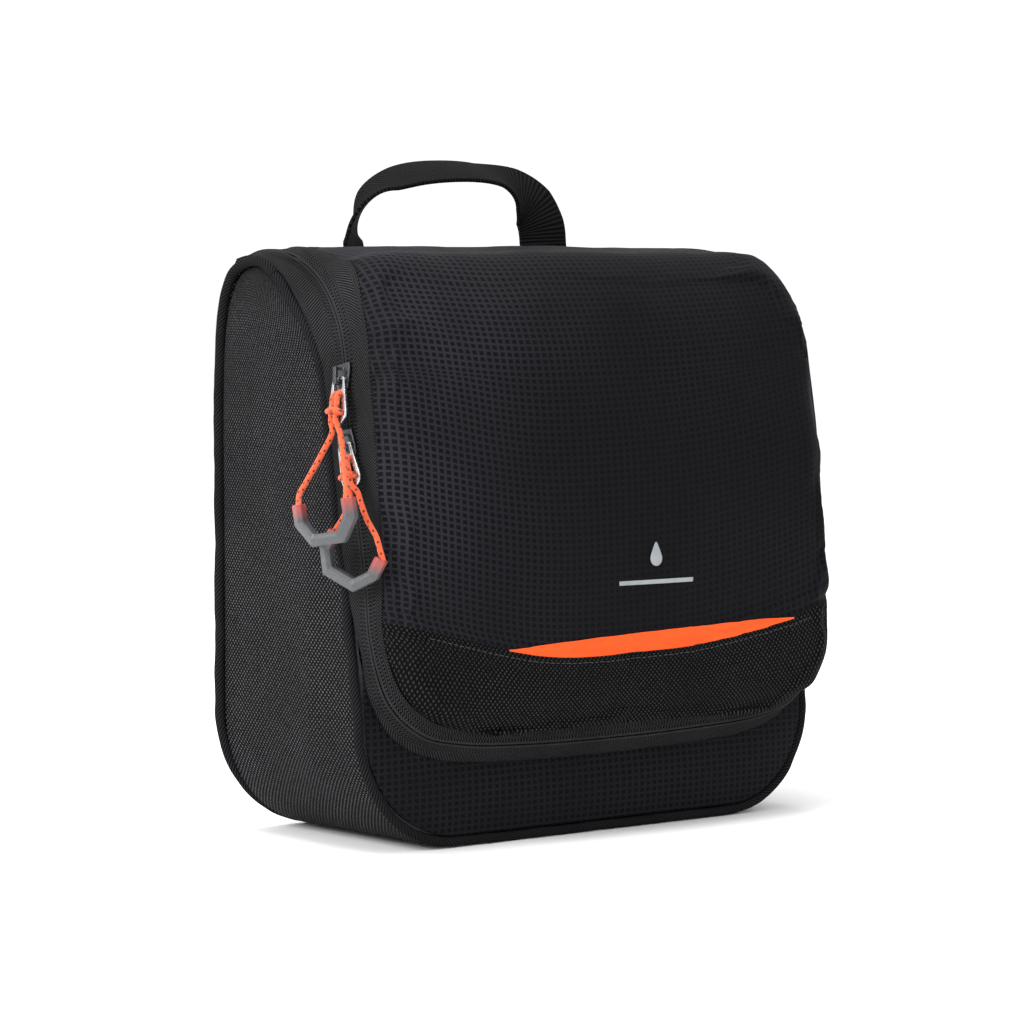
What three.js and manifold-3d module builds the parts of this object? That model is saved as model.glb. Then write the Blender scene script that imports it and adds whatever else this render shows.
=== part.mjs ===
// Hanging toiletry bag: a soft box with a padded flap that a U-shaped zip closes.
// Millimetres. +Z up, X across the bag, the front faces -Y. The bag stands on z = 0.
import * as THREE from 'three';
import { mergeVertices } from 'three/addons/utils/BufferGeometryUtils.js';
import Module from 'manifold-3d';

const wasm = await Module();
wasm.setup();

// ---------------------------------------------------------------- driving dimensions

const SIDE_X = 119.2;             // outer face of the side gussets
const BACK_Y = 62;                // outer face of the back panel
const WALL = 1.8;                 // heavy outer fabric with its backing
const GAP = 0.4;                  // clearance between touching pieces
const PIPING_R = 2;
const PIPING_X = 120;
const PIPING_Z = 2.3;             // piping centre above the surface the bag stands on
const CORNER_LEFT = 50;           // lower corner radius of the body, left and right
const CORNER_RIGHT = 42;

const ARC_Y = 37;                 // centre and radius of the zip's arc over the shoulder
const ARC_Z = 177.8;
const ARC_R = 63;
const ARC_LEAN = 9.1 * Math.PI / 180;
const ARC_X = -120.1;
const ZIP_X = 119;
const TAPE_BODY = 11;             // zip slit to the body seam
const TAPE_FLAP = 15;             // zip slit to the flap seam
const RUN_ANGLE = 9.8;            // lean of the straight run of the zip, degrees
const SLIT = 0.8;                 // half of the gap between the two tape halves
const TAPE_T = 0.9;

const FLAP_FABRIC = 1.5;
const FOAM_TOP = 1.9;             // depths below the flap's outer face
const FOAM_BOTTOM = 4.6;
const LINING_TOP = 5;
const LINING_BOTTOM = 5.8;
const FLAP_ROLL = 16;             // width of the rounded edge of the flap
const FLAP_CROWN = 14;            // how far the padded flap stands proud of its seams
const SPLIT_ROW = 4.5 / 14;       // where the flap bends over the shoulder

const HOOK_PIVOT = [-29, 76];     // y, z of the bar of the hook's eye
const HOOK_LEAN = 17;             // degrees the stowed hook leans on the flap
const WEBBING = 25;
const WEBBING_T = 1.6;
const CORD_R = 1.2;

// ---------------------------------------------------------------- materials

const finish = (color, roughness, metalness = 0) =>
  new THREE.MeshStandardMaterial({ color, roughness, metalness });

const MATERIALS = {
  heavyWeave: finish(0x202022, 0.9),
  ripstop: finish(0x2a2a31, 0.7),
  twill: finish(0x242426, 0.85),
  piping: finish(0x1c1c1e, 0.85),
  lining: finish(0x8d9196, 0.7),
  foam: finish(0x55585c, 0.95),
  board: finish(0x3a3a3a, 0.6),
  mesh: finish(0x2e2e30, 0.9),
  webbing: finish(0x18181a, 0.9),
  accent: finish(0xff6932, 0.75),
  mark: finish(0xb4b8bc, 0.5),
  coil: finish(0x141416, 0.5),
  gunmetal: finish(0x55585c, 0.35, 0.9),
  nickel: finish(0xc8cacc, 0.25, 1),
  cord: finish(0xff5a1e, 0.8),
  grip: finish(0x8a8c90, 0.5),
  hook: finish(0x1b1b1d, 0.45),
};

// ---------------------------------------------------------------- helpers

const vec = (p) => new THREE.Vector3(p[0], p[1], p[2]);
const radians = THREE.MathUtils.degToRad;
const mix = THREE.MathUtils.lerp;
const spline = (points) => new THREE.CatmullRomCurve3(points.map(vec), false, 'centripetal');
const mirrored = (points) => points.map(([x, y, z]) => [-x, y, z]);

const bag = new THREE.Group();

function closed(geometry) {
  geometry.deleteAttribute('normal');
  geometry.deleteAttribute('uv');
  const merged = mergeVertices(geometry, 1e-4);
  merged.computeVertexNormals();
  return merged;
}

function add(name, geometry, material, parent = bag) {
  const mesh = new THREE.Mesh(closed(geometry), MATERIALS[material]);
  mesh.name = name;
  parent.add(mesh);
  return mesh;
}

// The normal of a surface (u, v) -> Vector3, by small differences.
function normalAt(surface, u, v) {
  const step = 1e-3;
  const [u0, u1] = [Math.max(u - step, 0), Math.min(u + step, 1)];
  const [v0, v1] = [Math.max(v - step, 0), Math.min(v + step, 1)];
  const along = surface(u1, v).sub(surface(u0, v));
  const across = surface(u, v1).sub(surface(u, v0));
  return along.cross(across).normalize();
}

// A sheet of fabric: a box of nu x nv cells laid on a surface, from height low to height high.
function sheet(surface, nu, nv, low, high, direction = null) {
  const geometry = new THREE.BoxGeometry(1, 1, 1, nu, nv, 1);
  const place = geometry.attributes.position;
  for (let i = 0; i < place.count; i += 1) {
    const u = place.getX(i) + 0.5;
    const v = place.getY(i) + 0.5;
    const height = mix(low, high, place.getZ(i) + 0.5);
    const normal = direction ? direction(u, v) : normalAt(surface, u, v);
    const point = surface(u, v).addScaledVector(normal, height);
    place.setXYZ(i, point.x, point.y, point.z);
  }
  return geometry;
}

// The surface between two curves, u along them and v from the first to the second.
const ruled = (first, second) => (u, v) => first(u).lerp(second(u), v);

// Straight lines from point to point, as a function of the length run.
function polyline(points) {
  const path = new THREE.CurvePath();
  points.slice(1).forEach((end, i) => path.add(new THREE.LineCurve3(vec(points[i]), vec(end))));
  return (u) => path.getPointAt(u);
}

function circle(radius, sides) {
  const shape = new THREE.Shape();
  for (let i = 0; i < sides; i += 1) {
    const angle = (i + 0.5) * 2 * Math.PI / sides;
    const [x, y] = [radius * Math.cos(angle), radius * Math.sin(angle)];
    if (i === 0) shape.moveTo(x, y);
    else shape.lineTo(x, y);
  }
  return shape;
}

function tube(points, radius, steps, sides = 6) {
  const path = spline(points);
  return new THREE.ExtrudeGeometry(circle(radius, sides), {
    steps, extrudePath: path, bevelEnabled: false, curveSegments: 1,
  });
}

// A flat plate cut from a shape drawn in (y, z), standing between two x values.
function plateAcrossX(shape, low, high, curveSegments = 4) {
  const geometry = new THREE.ExtrudeGeometry(shape, {
    depth: high - low, bevelEnabled: false, curveSegments,
  });
  const place = geometry.attributes.position;
  for (let i = 0; i < place.count; i += 1) {
    place.setXYZ(i, place.getZ(i) + low, place.getX(i), place.getY(i));
  }
  return geometry;
}

function block(low, high) {
  const size = high.map((value, i) => value - low[i]);
  const geometry = new THREE.BoxGeometry(...size);
  return geometry.translate(...low.map((value, i) => value + size[i] / 2));
}

function solid(geometry) {
  const merged = closed(geometry);
  return new wasm.Manifold(new wasm.Mesh({
    numProp: 3,
    vertProperties: new Float32Array(merged.attributes.position.array),
    triVerts: new Uint32Array(merged.index.array),
  }));
}

function joined(geometries) {
  const whole = geometries.map(solid).reduce((sum, next) => sum.add(next));
  const mesh = whole.getMesh();
  const geometry = new THREE.BufferGeometry();
  geometry.setAttribute('position', new THREE.BufferAttribute(mesh.vertProperties, 3));
  geometry.setIndex(new THREE.BufferAttribute(mesh.triVerts, 1));
  return geometry;
}

// ---------------------------------------------------------------- seam lines of the bag

// A point on a circle about the zip's arc centre, at an angle above the front.
const onArc = (radius, degrees, x) => [
  x,
  ARC_Y - radius * Math.cos(radians(degrees)),
  ARC_Z + radius * Math.sin(radians(degrees)),
];

// The zip's own arc leans inward, so that it climbs from the side to the top of the bag.
function onZipArc(degrees) {
  const rise = ARC_R * Math.sin(radians(degrees));
  const y = ARC_Y - ARC_R * Math.cos(radians(degrees));
  return [ARC_X + rise * Math.sin(ARC_LEAN), y, ARC_Z + rise * Math.cos(ARC_LEAN)];
}

// A point of the straight run of the zip, at height z.
const runStart = onArc(ARC_R, RUN_ANGLE, -ZIP_X);
const onRun = (z) => [-ZIP_X, runStart[1] - Math.tan(radians(RUN_ANGLE)) * (runStart[2] - z), z];

// Each line runs from the top of the back, over the shoulder, down the front corner and along
// the bottom to the middle. Point i of one line lies across the tape from point i of the others.
const ZIP_LEFT = [
  [-109.8, 52, 238.6], onZipArc(90), onZipArc(75), onZipArc(61), onZipArc(47), onZipArc(33),
  onZipArc(20), onZipArc(RUN_ANGLE), onRun(157), onRun(132), onRun(107),
  [-118.2, -41.6, 84], [-110.5, -42.6, 61.5], [-94.5, -43, 48], [-74, -43, 43],
  [-45, -43.5, 40.8], [0, -43.5, 40],
];
const BODY_SEAM_LEFT = [
  [-117.5, 52, 236.5], [-118, 40, 238.5], [-118.5, 28, 237], [-119, 17, 231.5],
  [-119.5, 8.5, 224], onArc(ARC_R - TAPE_BODY, 40, -120), onArc(ARC_R - TAPE_BODY, 22, -120),
  onArc(ARC_R - TAPE_BODY, 8, -120), [-120, -19.5, 157], [-120, -23.5, 132],
  [-120, -28.5, 107], [-118.4, -34.4, 84], [-113, -35.5, 60], [-99, -36, 44],
  [-77, -36, 36.5], [-45, -36, 34], [0, -36, 33],
];
const FLAP_SEAM_LEFT = [
  [-99, 53, 239.5], [-99.5, 38, 241.5], [-101, 20, 241.3], [-103, 0, 237.5],
  onArc(ARC_R + TAPE_FLAP, 47, -107.5), onArc(ARC_R + TAPE_FLAP, 33, -112.5),
  onArc(ARC_R + TAPE_FLAP, 20, -115.5), onArc(ARC_R + TAPE_FLAP, 8, -117.2),
  [-117.8, -44.5, 160], [-118, -47, 134], [-118, -48.5, 109], [-117.5, -48.5, 88],
  [-108, -48, 66], [-91, -47, 53.5], [-71, -46, 49.5], [-45, -46, 48.5], [0, -46, 48],
];

// The right side is fuller at the shoulder and squarer at the lower corner.
const ZIP_RIGHT = [
  ...mirrored(ZIP_LEFT).slice(0, 11),
  [118.8, -41.6, 79], [115, -42.6, 57.5], [104, -43, 47.5], [86, -43, 43],
  [50, -43.5, 40.8], [0, -43.5, 40],
];
const BODY_SEAM_RIGHT = [
  ...mirrored(BODY_SEAM_LEFT).slice(0, 11),
  [118.6, -34.4, 79], [116, -35.5, 57], [106, -36, 43], [87, -36, 36.5],
  [50, -36, 34], [0, -36, 33],
];
const FLAP_SEAM_RIGHT = [
  [104, 53, 239.5], [104.5, 38, 241.5], [106.5, 21, 241.5], [109, -1, 239],
  onArc(ARC_R + TAPE_FLAP + 1, 47, 112), onArc(ARC_R + TAPE_FLAP + 2, 33, 115.5),
  onArc(ARC_R + TAPE_FLAP + 1, 20, 118), onArc(ARC_R + TAPE_FLAP, 8, 118.5),
  [118.5, -45, 160], [118.5, -47.5, 134], [118.5, -48.5, 109], [118.5, -48.5, 82],
  [115, -48, 62], [104, -47, 53], [86, -46, 49.5], [50, -46, 48.5], [0, -46, 48],
];

const LAST = ZIP_LEFT.length - 1;
const around = (left, right) => {
  const curve = spline([...left, ...right.slice(0, LAST).reverse()]);
  return (t) => curve.getPoint(t);
};
const zipLine = around(ZIP_LEFT, ZIP_RIGHT);
const bodySeam = around(BODY_SEAM_LEFT, BODY_SEAM_RIGHT);
const flapSeam = around(FLAP_SEAM_LEFT, FLAP_SEAM_RIGHT);

// A point at a distance (mm) from one line towards another.
const towards = (from, to, distance) => (t) => {
  const start = from(t);
  return start.clone().addScaledVector(to(t).sub(start).normalize(), distance);
};

const part = (curve, start, end) => (u) => curve(mix(start, end, u));

// ---------------------------------------------------------------- body shell

// The lower outline of the body seen from the front, inset by some millimetres.
function lowerOutline(inset, y, top) {
  const points = [[-PIPING_X + inset, y, top]];
  const low = PIPING_Z + inset;
  const corner = (centre, radius, start, end) => {
    for (let i = 0; i <= 5; i += 1) {
      const angle = radians(mix(start, end, i / 5));
      points.push([
        centre + radius * Math.cos(angle), y, low + radius + radius * Math.sin(angle),
      ]);
    }
  };
  corner(-PIPING_X + CORNER_LEFT, CORNER_LEFT - inset, 180, 270);
  [-61, -46, 0, 54, 69].forEach((x) => points.push([x, y, low]));
  corner(PIPING_X - CORNER_RIGHT, CORNER_RIGHT - inset, 270, 360);
  points.push([PIPING_X - inset, y, top]);
  return points;
}

const GUSSET_FOOT = 54;           // height where the sides pass into the bottom strip

function addGussets() {
  const inset = PIPING_R + GAP;
  const back = [
    [36, 233], [44.5, 229.8], [52, 220], [56, 206], [BACK_Y - 4.2, 180], [BACK_Y - 4.2, 120],
    [BACK_Y - 4.2, GUSSET_FOOT],
  ];
  const front = [
    [28.6, 233], [21.5, 227.6], [13.5, 220.6],
    ...[40, 22, 8].map((a) => onArc(ARC_R - TAPE_BODY - 2 * inset, a, 0).slice(1)),
    [-14.7, 157], [-18.7, 132], [-23.7, 107], [-27.3, 84], [-30.6, 66], [-31.9, GUSSET_FOOT],
  ];
  const edge = (points, x) => {
    const curve = spline(points.map(([y, z]) => [x, y, z]));
    return (u) => curve.getPointAt(u);
  };
  const left = ruled(edge(back, -SIDE_X), edge(front, -SIDE_X));
  const right = ruled(edge(front, SIDE_X), edge(back, SIDE_X));
  add('side_gusset_left', sheet(left, 14, 4, -WALL, 0), 'heavyWeave');
  add('side_gusset_right', sheet(right, 14, 4, -WALL, 0), 'heavyWeave');
  const lining = (surface) => (u, v) => surface(mix(0.04, 1, u), mix(0.03, 0.97, v));
  add('side_lining_left', sheet(lining(left), 8, 2, -WALL - 1.2, -WALL - GAP), 'lining');
  add('side_lining_right', sheet(lining(right), 8, 2, -WALL - 1.2, -WALL - GAP), 'lining');
}

// The strip under the bag, with both round lower corners. Its outer face rests on z = 0.
function bottomStrip(yFront, yBack, foot) {
  const rise = PIPING_X - SIDE_X;
  const flat = (y) => {
    const points = lowerOutline(rise, y, foot).map(([x, , z]) => [x, y, z - PIPING_Z - rise]);
    points[0][2] = foot;
    points[points.length - 1][2] = foot;
    return polyline(points);
  };
  return ruled(flat(yBack), flat(yFront));
}

function addBottom() {
  const foot = GUSSET_FOOT - GAP - 0.2;
  const strip = bottomStrip(-31.9, BACK_Y - 4.2, foot);
  add('bottom_gusset', sheet(strip, 36, 3, -WALL, 0), 'heavyWeave');
  const inner = bottomStrip(-31, BACK_Y - 5, foot);
  const boardTop = -WALL - GAP - 1.6;
  const lining = sheet(inner, 36, 2, boardTop - GAP - 0.8, boardTop - GAP);
  add('base_lining', lining, 'lining');
  const board = block([-62, -26, WALL + GAP], [70, BACK_Y - 11, WALL + GAP + 1.6]);
  add('base_stiffener', board, 'board');
}

function addBack() {
  const inset = PIPING_R + GAP;
  const outline = (extra, top) => {
    const shape = new THREE.Shape();
    const low = PIPING_Z + inset + extra;
    const side = PIPING_X - inset - extra;
    const [left, right] = [CORNER_LEFT - inset - extra, CORNER_RIGHT - inset - extra];
    shape.moveTo(-side + 12, top);
    shape.absarc(-side + 14, top - 32, 14, radians(120), radians(180), false);
    shape.absarc(-side + left, low + left, left, Math.PI, 1.5 * Math.PI, false);
    shape.absarc(side - right, low + right, right, 1.5 * Math.PI, 2 * Math.PI, false);
    shape.absarc(side - 14, top - 32, 14, 0, radians(60), false);
    shape.lineTo(side - 12, top);
    return shape;
  };
  const upright = (shape, front, back) => {
    const geometry = new THREE.ExtrudeGeometry(shape, {
      depth: back - front, bevelEnabled: false, curveSegments: 7,
    });
    return geometry.rotateX(Math.PI / 2).translate(0, back, 0);
  };
  add('back_panel', upright(outline(0, 235.5), BACK_Y - WALL, BACK_Y), 'heavyWeave');
  const boardBack = BACK_Y - WALL - GAP;
  add('back_stiffener', upright(outline(9, 226), boardBack - 1.6, boardBack), 'board');
  const liningBack = boardBack - 1.6 - GAP;
  add('back_lining', upright(outline(5.5, 231), liningBack - 0.8, liningBack), 'lining');
}

function addLowerFront() {
  const inset = PIPING_R + GAP;
  const outline = spline([
    [-PIPING_X + inset, -33.2, 78],
    ...lowerOutline(inset, -36, 60).slice(1, -1),
    [PIPING_X - inset, -33.2, 74],
  ]);
  const start = 11.25 / (2 * LAST);
  const end = 1 - 11.2 / (2 * LAST);
  const low = (u) => outline.getPointAt(u);
  const high = part(towards(bodySeam, zipLine, -GAP), start, end);
  add('lower_front_panel', sheet(ruled(low, high), 36, 3, -WALL, 0), 'ripstop');
}

function addPiping() {
  const y = BACK_Y - 1.5;
  const tongueBack = [
    [20.5, 230.8], [29, 235.4], [38, 236.4], [47.6, 232.8], [55.3, 222.6], [59, 207], [y, 185],
    [y, 120],
  ];
  const backPath = [
    ...tongueBack.map(([py, pz]) => [-PIPING_X, py, pz]),
    ...lowerOutline(0, y, 75),
    ...tongueBack.map(([py, pz]) => [PIPING_X, py, pz]).reverse(),
  ];
  add('back_piping', tube(backPath, PIPING_R, 72), 'twill');

  const inset = PIPING_R + GAP;
  const upper = [
    [15.6, 227.4], [11, 222.4],
    ...[40, 22, 8].map((a) => onArc(ARC_R - TAPE_BODY - inset, a, 0).slice(1)),
    [-17.1, 157], [-21.1, 132], [-26.1, 107], [-29.7, 84],
  ];
  const frontPath = [
    ...upper.map(([py, pz]) => [-PIPING_X, py, pz]),
    ...lowerOutline(0, -34.5, 64),
    ...upper.map(([py, pz]) => [PIPING_X, py, pz]).reverse(),
  ];
  add('front_piping', tube(frontPath, PIPING_R, 68), 'piping');
  const over = spline([[0, 61, 236], [0, 60.2, 238.4], [0, 57.6, 239.8], [0, 53.6, 239.9]]);
  const strip = (u, v) => over.getPointAt(v).setX(mix(-96, 100, u));
  add('hinge_binding', sheet(strip, 10, 4, 0, 1), 'twill');
}

// ---------------------------------------------------------------- zip

const SPLIT_T = SPLIT_ROW * 14 / (2 * LAST);
const SPLIT_GAP = 0.0012;

// The tape next to the slit stays flat in the slider's plane, up to where the shoulder turns.
const FLAT = 5.6;

function flatDirection(side) {
  return (t) => {
    const direction = side(t).sub(zipLine(t));
    const index = Math.min(t, 1 - t) * 2 * LAST;
    const up = THREE.MathUtils.smoothstep(index, 1.2, 2.6);
    const down = 1 - THREE.MathUtils.smoothstep(index, 10.5, 12);
    const lean = ARC_LEAN * (1 - THREE.MathUtils.smoothstep(index, 7, 8));
    const normal = vec([t < 0.5 ? -1 : 1, 0, Math.tan(lean)]).normalize();
    return direction.addScaledVector(normal, -direction.dot(normal) * up * down).normalize();
  };
}

// Half of the zip tape: v runs from the seam (0) over the flat strip (0.5) to the slit (1).
function tapeHalf(seam, seamEdge) {
  const direction = flatDirection(seam);
  const fromSlit = (t, distance) => zipLine(t).addScaledVector(direction(t), distance);
  return (t, v) => {
    const flat = Math.min(FLAT, seam(t).distanceTo(zipLine(t)) * 0.55);
    if (v >= 0.5) return fromSlit(t, mix(flat, SLIT, 2 * v - 1));
    return seamEdge(t).lerp(fromSlit(t, flat), 2 * v);
  };
}

function addZip() {
  const bodyHalf = tapeHalf(bodySeam, towards(bodySeam, zipLine, GAP));
  const flapOutward = tapeHalf(flapSeam, towards(flapSeam, zipLine, 2.6));
  const flapHalf = (t, v) => flapOutward(t, 1 - v);
  const cut = (surface, start, end) => (u, v) => surface(mix(start, end, u), v);
  const thick = TAPE_T / 2;
  const make = (name, surface, start, end, cells) => {
    add(name, sheet(cut(surface, start, end), cells, 2, -thick, thick), 'twill');
  };
  make('body_zip_tape', bodyHalf, 0.006, 0.994, 64);
  make('flap_top_zip_tape_left', flapHalf, 0.008, SPLIT_T - SPLIT_GAP, 9);
  make('flap_top_zip_tape_right', flapHalf, 1 - SPLIT_T + SPLIT_GAP, 0.992, 9);
  make('flap_zip_tape', flapHalf, SPLIT_T + SPLIT_GAP, 1 - SPLIT_T - SPLIT_GAP, 46);

  const narrow = 0.31;
  const bodyCoil = (t, v) => bodyHalf(t, mix(1 - narrow, 1, v));
  const flapCoil = (t, v) => flapHalf(t, mix(0, narrow, v));
  const [low, high] = [-thick - 1.9, -thick - 0.8];
  add('body_zip_coil', sheet(cut(bodyCoil, 0.006, 0.994), 64, 1, low, high), 'coil');
  const [start, end] = [SPLIT_T + SPLIT_GAP, 1 - SPLIT_T - SPLIT_GAP];
  add('flap_zip_coil', sheet(cut(flapCoil, start, end), 46, 1, low, high), 'coil');
}

// ---------------------------------------------------------------- flap

const flapLeft = spline(FLAP_SEAM_LEFT.slice(0, 15));
const flapRight = spline(FLAP_SEAM_RIGHT.slice(0, 15));
const flapMiddle = (row) => flapLeft.getPoint(row).lerp(flapRight.getPoint(row), 0.5);

// The direction that the flap faces at a row, in the plane across the bag.
function flapNormal(row) {
  const step = 0.004;
  const above = flapMiddle(Math.max(row - step, 0));
  const below = flapMiddle(Math.min(row + step, 1));
  const run = below.sub(above);
  return new THREE.Vector3(0, run.z, -run.y).normalize();
}

// A quarter-round edge: 0 at the seam, 1 past the rolled border.
const roll = (distance, width) => {
  const inside = 1 - Math.min(Math.max(distance / width, 0), 1);
  return Math.sqrt(1 - inside * inside);
};

function flapCrown(row, across) {
  const left = flapLeft.getPoint(row);
  const right = flapRight.getPoint(row);
  const fromSide = (1 - Math.abs(across)) * (right.x - left.x) / 2;
  const fromBottom = row > 0.7 ? (left.z + right.z) / 2 - 46.5 : FLAP_ROLL;
  const height = mix(2.2, FLAP_CROWN, THREE.MathUtils.smoothstep(row, 0.05, 0.62));
  const belly = 0.82 + 0.18 * (1 - across * across);
  return height * belly * roll(fromSide, FLAP_ROLL) * roll(fromBottom, FLAP_ROLL);
}

// A point of the flap: row from the hinge (0) to the free edge (1), across from -1 to 1.
function flapPoint(row, across, depth = 0) {
  const base = flapLeft.getPoint(row).lerp(flapRight.getPoint(row), (across + 1) / 2);
  return base.addScaledVector(flapNormal(row), flapCrown(row, across) - depth);
}

// Height of the seam between the upper and lower flap panels.
const smile = (x) => 78.3 + 0.00118 * x * x - 0.022 * x;

function rowAtHeight(z) {
  let [high, low] = [0.5, 1];
  for (let i = 0; i < 24; i += 1) {
    const middle = (high + low) / 2;
    if (flapMiddle(middle).z > z) high = middle;
    else low = middle;
  }
  return (high + low) / 2;
}

const seamRow = (shift) => (across) => rowAtHeight(smile(across * 118) + shift);

// Places across the flap and rows down it, which every layer shares.
const ACROSS = [-1, -0.98, -0.95, -0.9, -0.82, -0.6, -0.3, 0, 0.3, 0.6, 0.82, 0.9, 0.95, 0.98, 1];
const TOP_ROWS = [0.006, 0.04, 0.1, 0.16, 0.22, 0.27, SPLIT_ROW - 0.0015];
const FRONT_ROWS = [SPLIT_ROW + 0.0015, 0.37, 0.42, 0.47, 0.52, 0.57, 0.62, 0.7];
const LOWER_ROWS = [0.83, 0.86, 0.89, 0.92, 0.95, 0.975, 1];

// A layer of the flap over some rows (numbers, or functions of the place across).
function flapLayer(rows, places, top, bottom) {
  const value = (row, across) => (typeof row === 'function' ? row(across) : row);
  const acrossAt = (u) => places[Math.round(u * (places.length - 1))];
  const rowAt = (u, v) => value(rows[Math.round((1 - v) * (rows.length - 1))], acrossAt(u));
  const surface = (u, v) => flapPoint(rowAt(u, v), acrossAt(u));
  const direction = (u, v) => flapNormal(rowAt(u, v));
  return sheet(surface, places.length - 1, rows.length - 1, -bottom, -top, direction);
}

function addFlap() {
  const foam = ACROSS.slice(2, -2);
  const lining = ACROSS.slice(1, -1);
  const layer = (name, material, rows, places, top, bottom) => {
    add(name, flapLayer(rows, places, top, bottom), material);
  };
  layer('flap_top_panel', 'ripstop', TOP_ROWS, ACROSS, 0, FLAP_FABRIC);
  layer('flap_top_foam', 'foam', TOP_ROWS.slice(1), foam, FOAM_TOP, FOAM_BOTTOM);
  layer('flap_top_lining', 'lining', TOP_ROWS.slice(1), lining, LINING_TOP, LINING_BOTTOM);
  const upper = [...FRONT_ROWS, seamRow(0.3)];
  const lower = [seamRow(-0.3), ...LOWER_ROWS];
  layer('flap_upper_panel', 'ripstop', upper, ACROSS, 0, FLAP_FABRIC);
  layer('flap_lower_panel', 'heavyWeave', lower, ACROSS, 0, FLAP_FABRIC);
  const inner = [...FRONT_ROWS, seamRow(0), ...LOWER_ROWS.slice(0, -1)];
  layer('flap_foam', 'foam', inner.slice(0, -1), foam, FOAM_TOP, FOAM_BOTTOM);
  layer('flap_lining', 'lining', inner, lining, LINING_TOP, LINING_BOTTOM);
}

const LENS_LEFT = -66;
const LENS_RIGHT = 90;

function lensTop(x) {
  const bow = 1 - ((x - 12) / 78) ** 2;
  return smile(LENS_LEFT) + (smile(LENS_RIGHT) - smile(LENS_LEFT)) * (x - LENS_LEFT)
    / (LENS_RIGHT - LENS_LEFT) + 1.3 * bow;
}

// A patch that lies on the flap between two heights at each x.
function flapPatch(xStart, xEnd, low, high, columns, rows, lift, thickness) {
  const rowAt = (u, v) => {
    const x = mix(xStart, xEnd, u);
    return rowAtHeight(mix(low(x), high(x), v));
  };
  const surface = (u, v) => flapPoint(rowAt(u, v), mix(xStart, xEnd, u) / 118);
  return sheet(surface, columns, rows, lift, lift + thickness,
    (u, v) => flapNormal(rowAt(u, v)));
}

function addFlapTrim() {
  const lens = flapPatch(LENS_LEFT + 1, LENS_RIGHT - 1, (x) => smile(x) + 0.5,
    (x) => Math.max(lensTop(x), smile(x) + 1), 18, 2, GAP, 0.7);
  add('flap_accent', lens, 'accent');
  const mark = flapPatch(-6, 34, () => 104, () => 106.4, 6, 1, GAP, 0.4);
  add('flap_mark', mark, 'mark');

  const rows = FRONT_ROWS.slice(3, 7);
  const rowOf = (v) => rows[Math.round((1 - v) * (rows.length - 1))];
  const bulge = (u, v) => 8 * Math.sin(Math.PI * u) ** 0.5 * (0.15 + 0.85 * Math.sin(1.9 * v));
  const pocket = (u, v) => flapPoint(rowOf(v), mix(0.82, -0.82, u),
    LINING_BOTTOM + 2 * GAP + bulge(u, v));
  const inward = (u, v) => flapNormal(rowOf(v)).negate();
  add('mesh_pocket', sheet(pocket, 12, rows.length - 1, 0, 0.8, inward), 'mesh');
  const rim = [];
  for (let i = 0; i <= 12; i += 1) {
    const point = pocket(mix(0.03, 0.97, i / 12), 1);
    rim.push([point.x, point.y + 2.2, point.z + 2]);
  }
  add('mesh_pocket_binding', tube(rim, 1.4, 20), 'piping');
}

// ---------------------------------------------------------------- hook

function hookShape() {
  const shape = new THREE.Shape();
  shape.moveTo(-13, -2);
  shape.lineTo(13, -2);
  shape.lineTo(13, 9);
  shape.lineTo(-2, 11);
  shape.quadraticCurveTo(-11, 17, -11, 30);
  shape.lineTo(-11, 45);
  shape.absarc(0, 45, 11, Math.PI, 0, true);
  shape.lineTo(11, 38);
  shape.absarc(14, 38, 3, Math.PI, 2 * Math.PI, false);
  shape.absarc(0, 45, 17, 0, Math.PI, false);
  shape.lineTo(-17, 24);
  shape.lineTo(-13, 9);
  const slot = new THREE.Path();
  slot.moveTo(-10, 2);
  slot.lineTo(-10, 5.6);
  slot.lineTo(10, 5.6);
  slot.lineTo(10, 2);
  shape.holes.push(slot);
  return shape;
}

function addHook() {
  const geometry = new THREE.ExtrudeGeometry(hookShape(), {
    depth: 4, bevelEnabled: false, curveSegments: 8,
  });
  geometry.translate(0, 0, -2).rotateX(Math.PI / 2 + radians(HOOK_LEAN));
  geometry.translate(0, HOOK_PIVOT[0], HOOK_PIVOT[1]);
  add('hook', geometry, 'hook');

  const [y, z] = HOOK_PIVOT;
  const reach = new THREE.Vector2(-53 - y, -7.5);
  const lean = reach.angle();
  const ring = (shape, radius) => {
    shape.absarc(reach.x, reach.y, radius * 0.55, lean - Math.PI / 2, lean + Math.PI / 2, false);
    shape.absarc(0, 0, radius, lean + Math.PI / 2, lean + 1.5 * Math.PI, false);
    return shape;
  };
  const loop = ring(new THREE.Shape(), 4.3);
  loop.holes.push(ring(new THREE.Path(), 3.1));
  const strap = plateAcrossX(loop, -9, 9, 6).translate(0, y, z);
  add('hook_loop', strap, 'webbing');
}

// ---------------------------------------------------------------- carry handle

const HANDLE_LINE = [
  [-46, 64.8, 242.5], [-46.5, 65.5, 251], [-43, 67, 262], [-34, 68, 269], [-20, 68, 274],
  [0, 68, 276.5], [20, 68, 274.5], [36, 68, 269], [48, 67, 261], [53.5, 65.5, 251],
  [54.5, 64.8, 242.5],
];
const HANDLE_TURN = [28, 48, 66, 74, 78, 80, 70, 48, 24, 7, 0];

// The strap twists, so that the middle lies flat in the hand. Its ends are sewn into the hinge seam.
function handleWidth(u) {
  const place = u * (HANDLE_TURN.length - 1);
  const index = Math.min(Math.floor(place), HANDLE_TURN.length - 2);
  const angle = radians(mix(HANDLE_TURN[index], HANDLE_TURN[index + 1], place - index));
  const tilt = 0.34 * Math.sin(Math.PI * u);
  return new THREE.Vector3(Math.cos(angle), Math.sin(angle), tilt);
}

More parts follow.
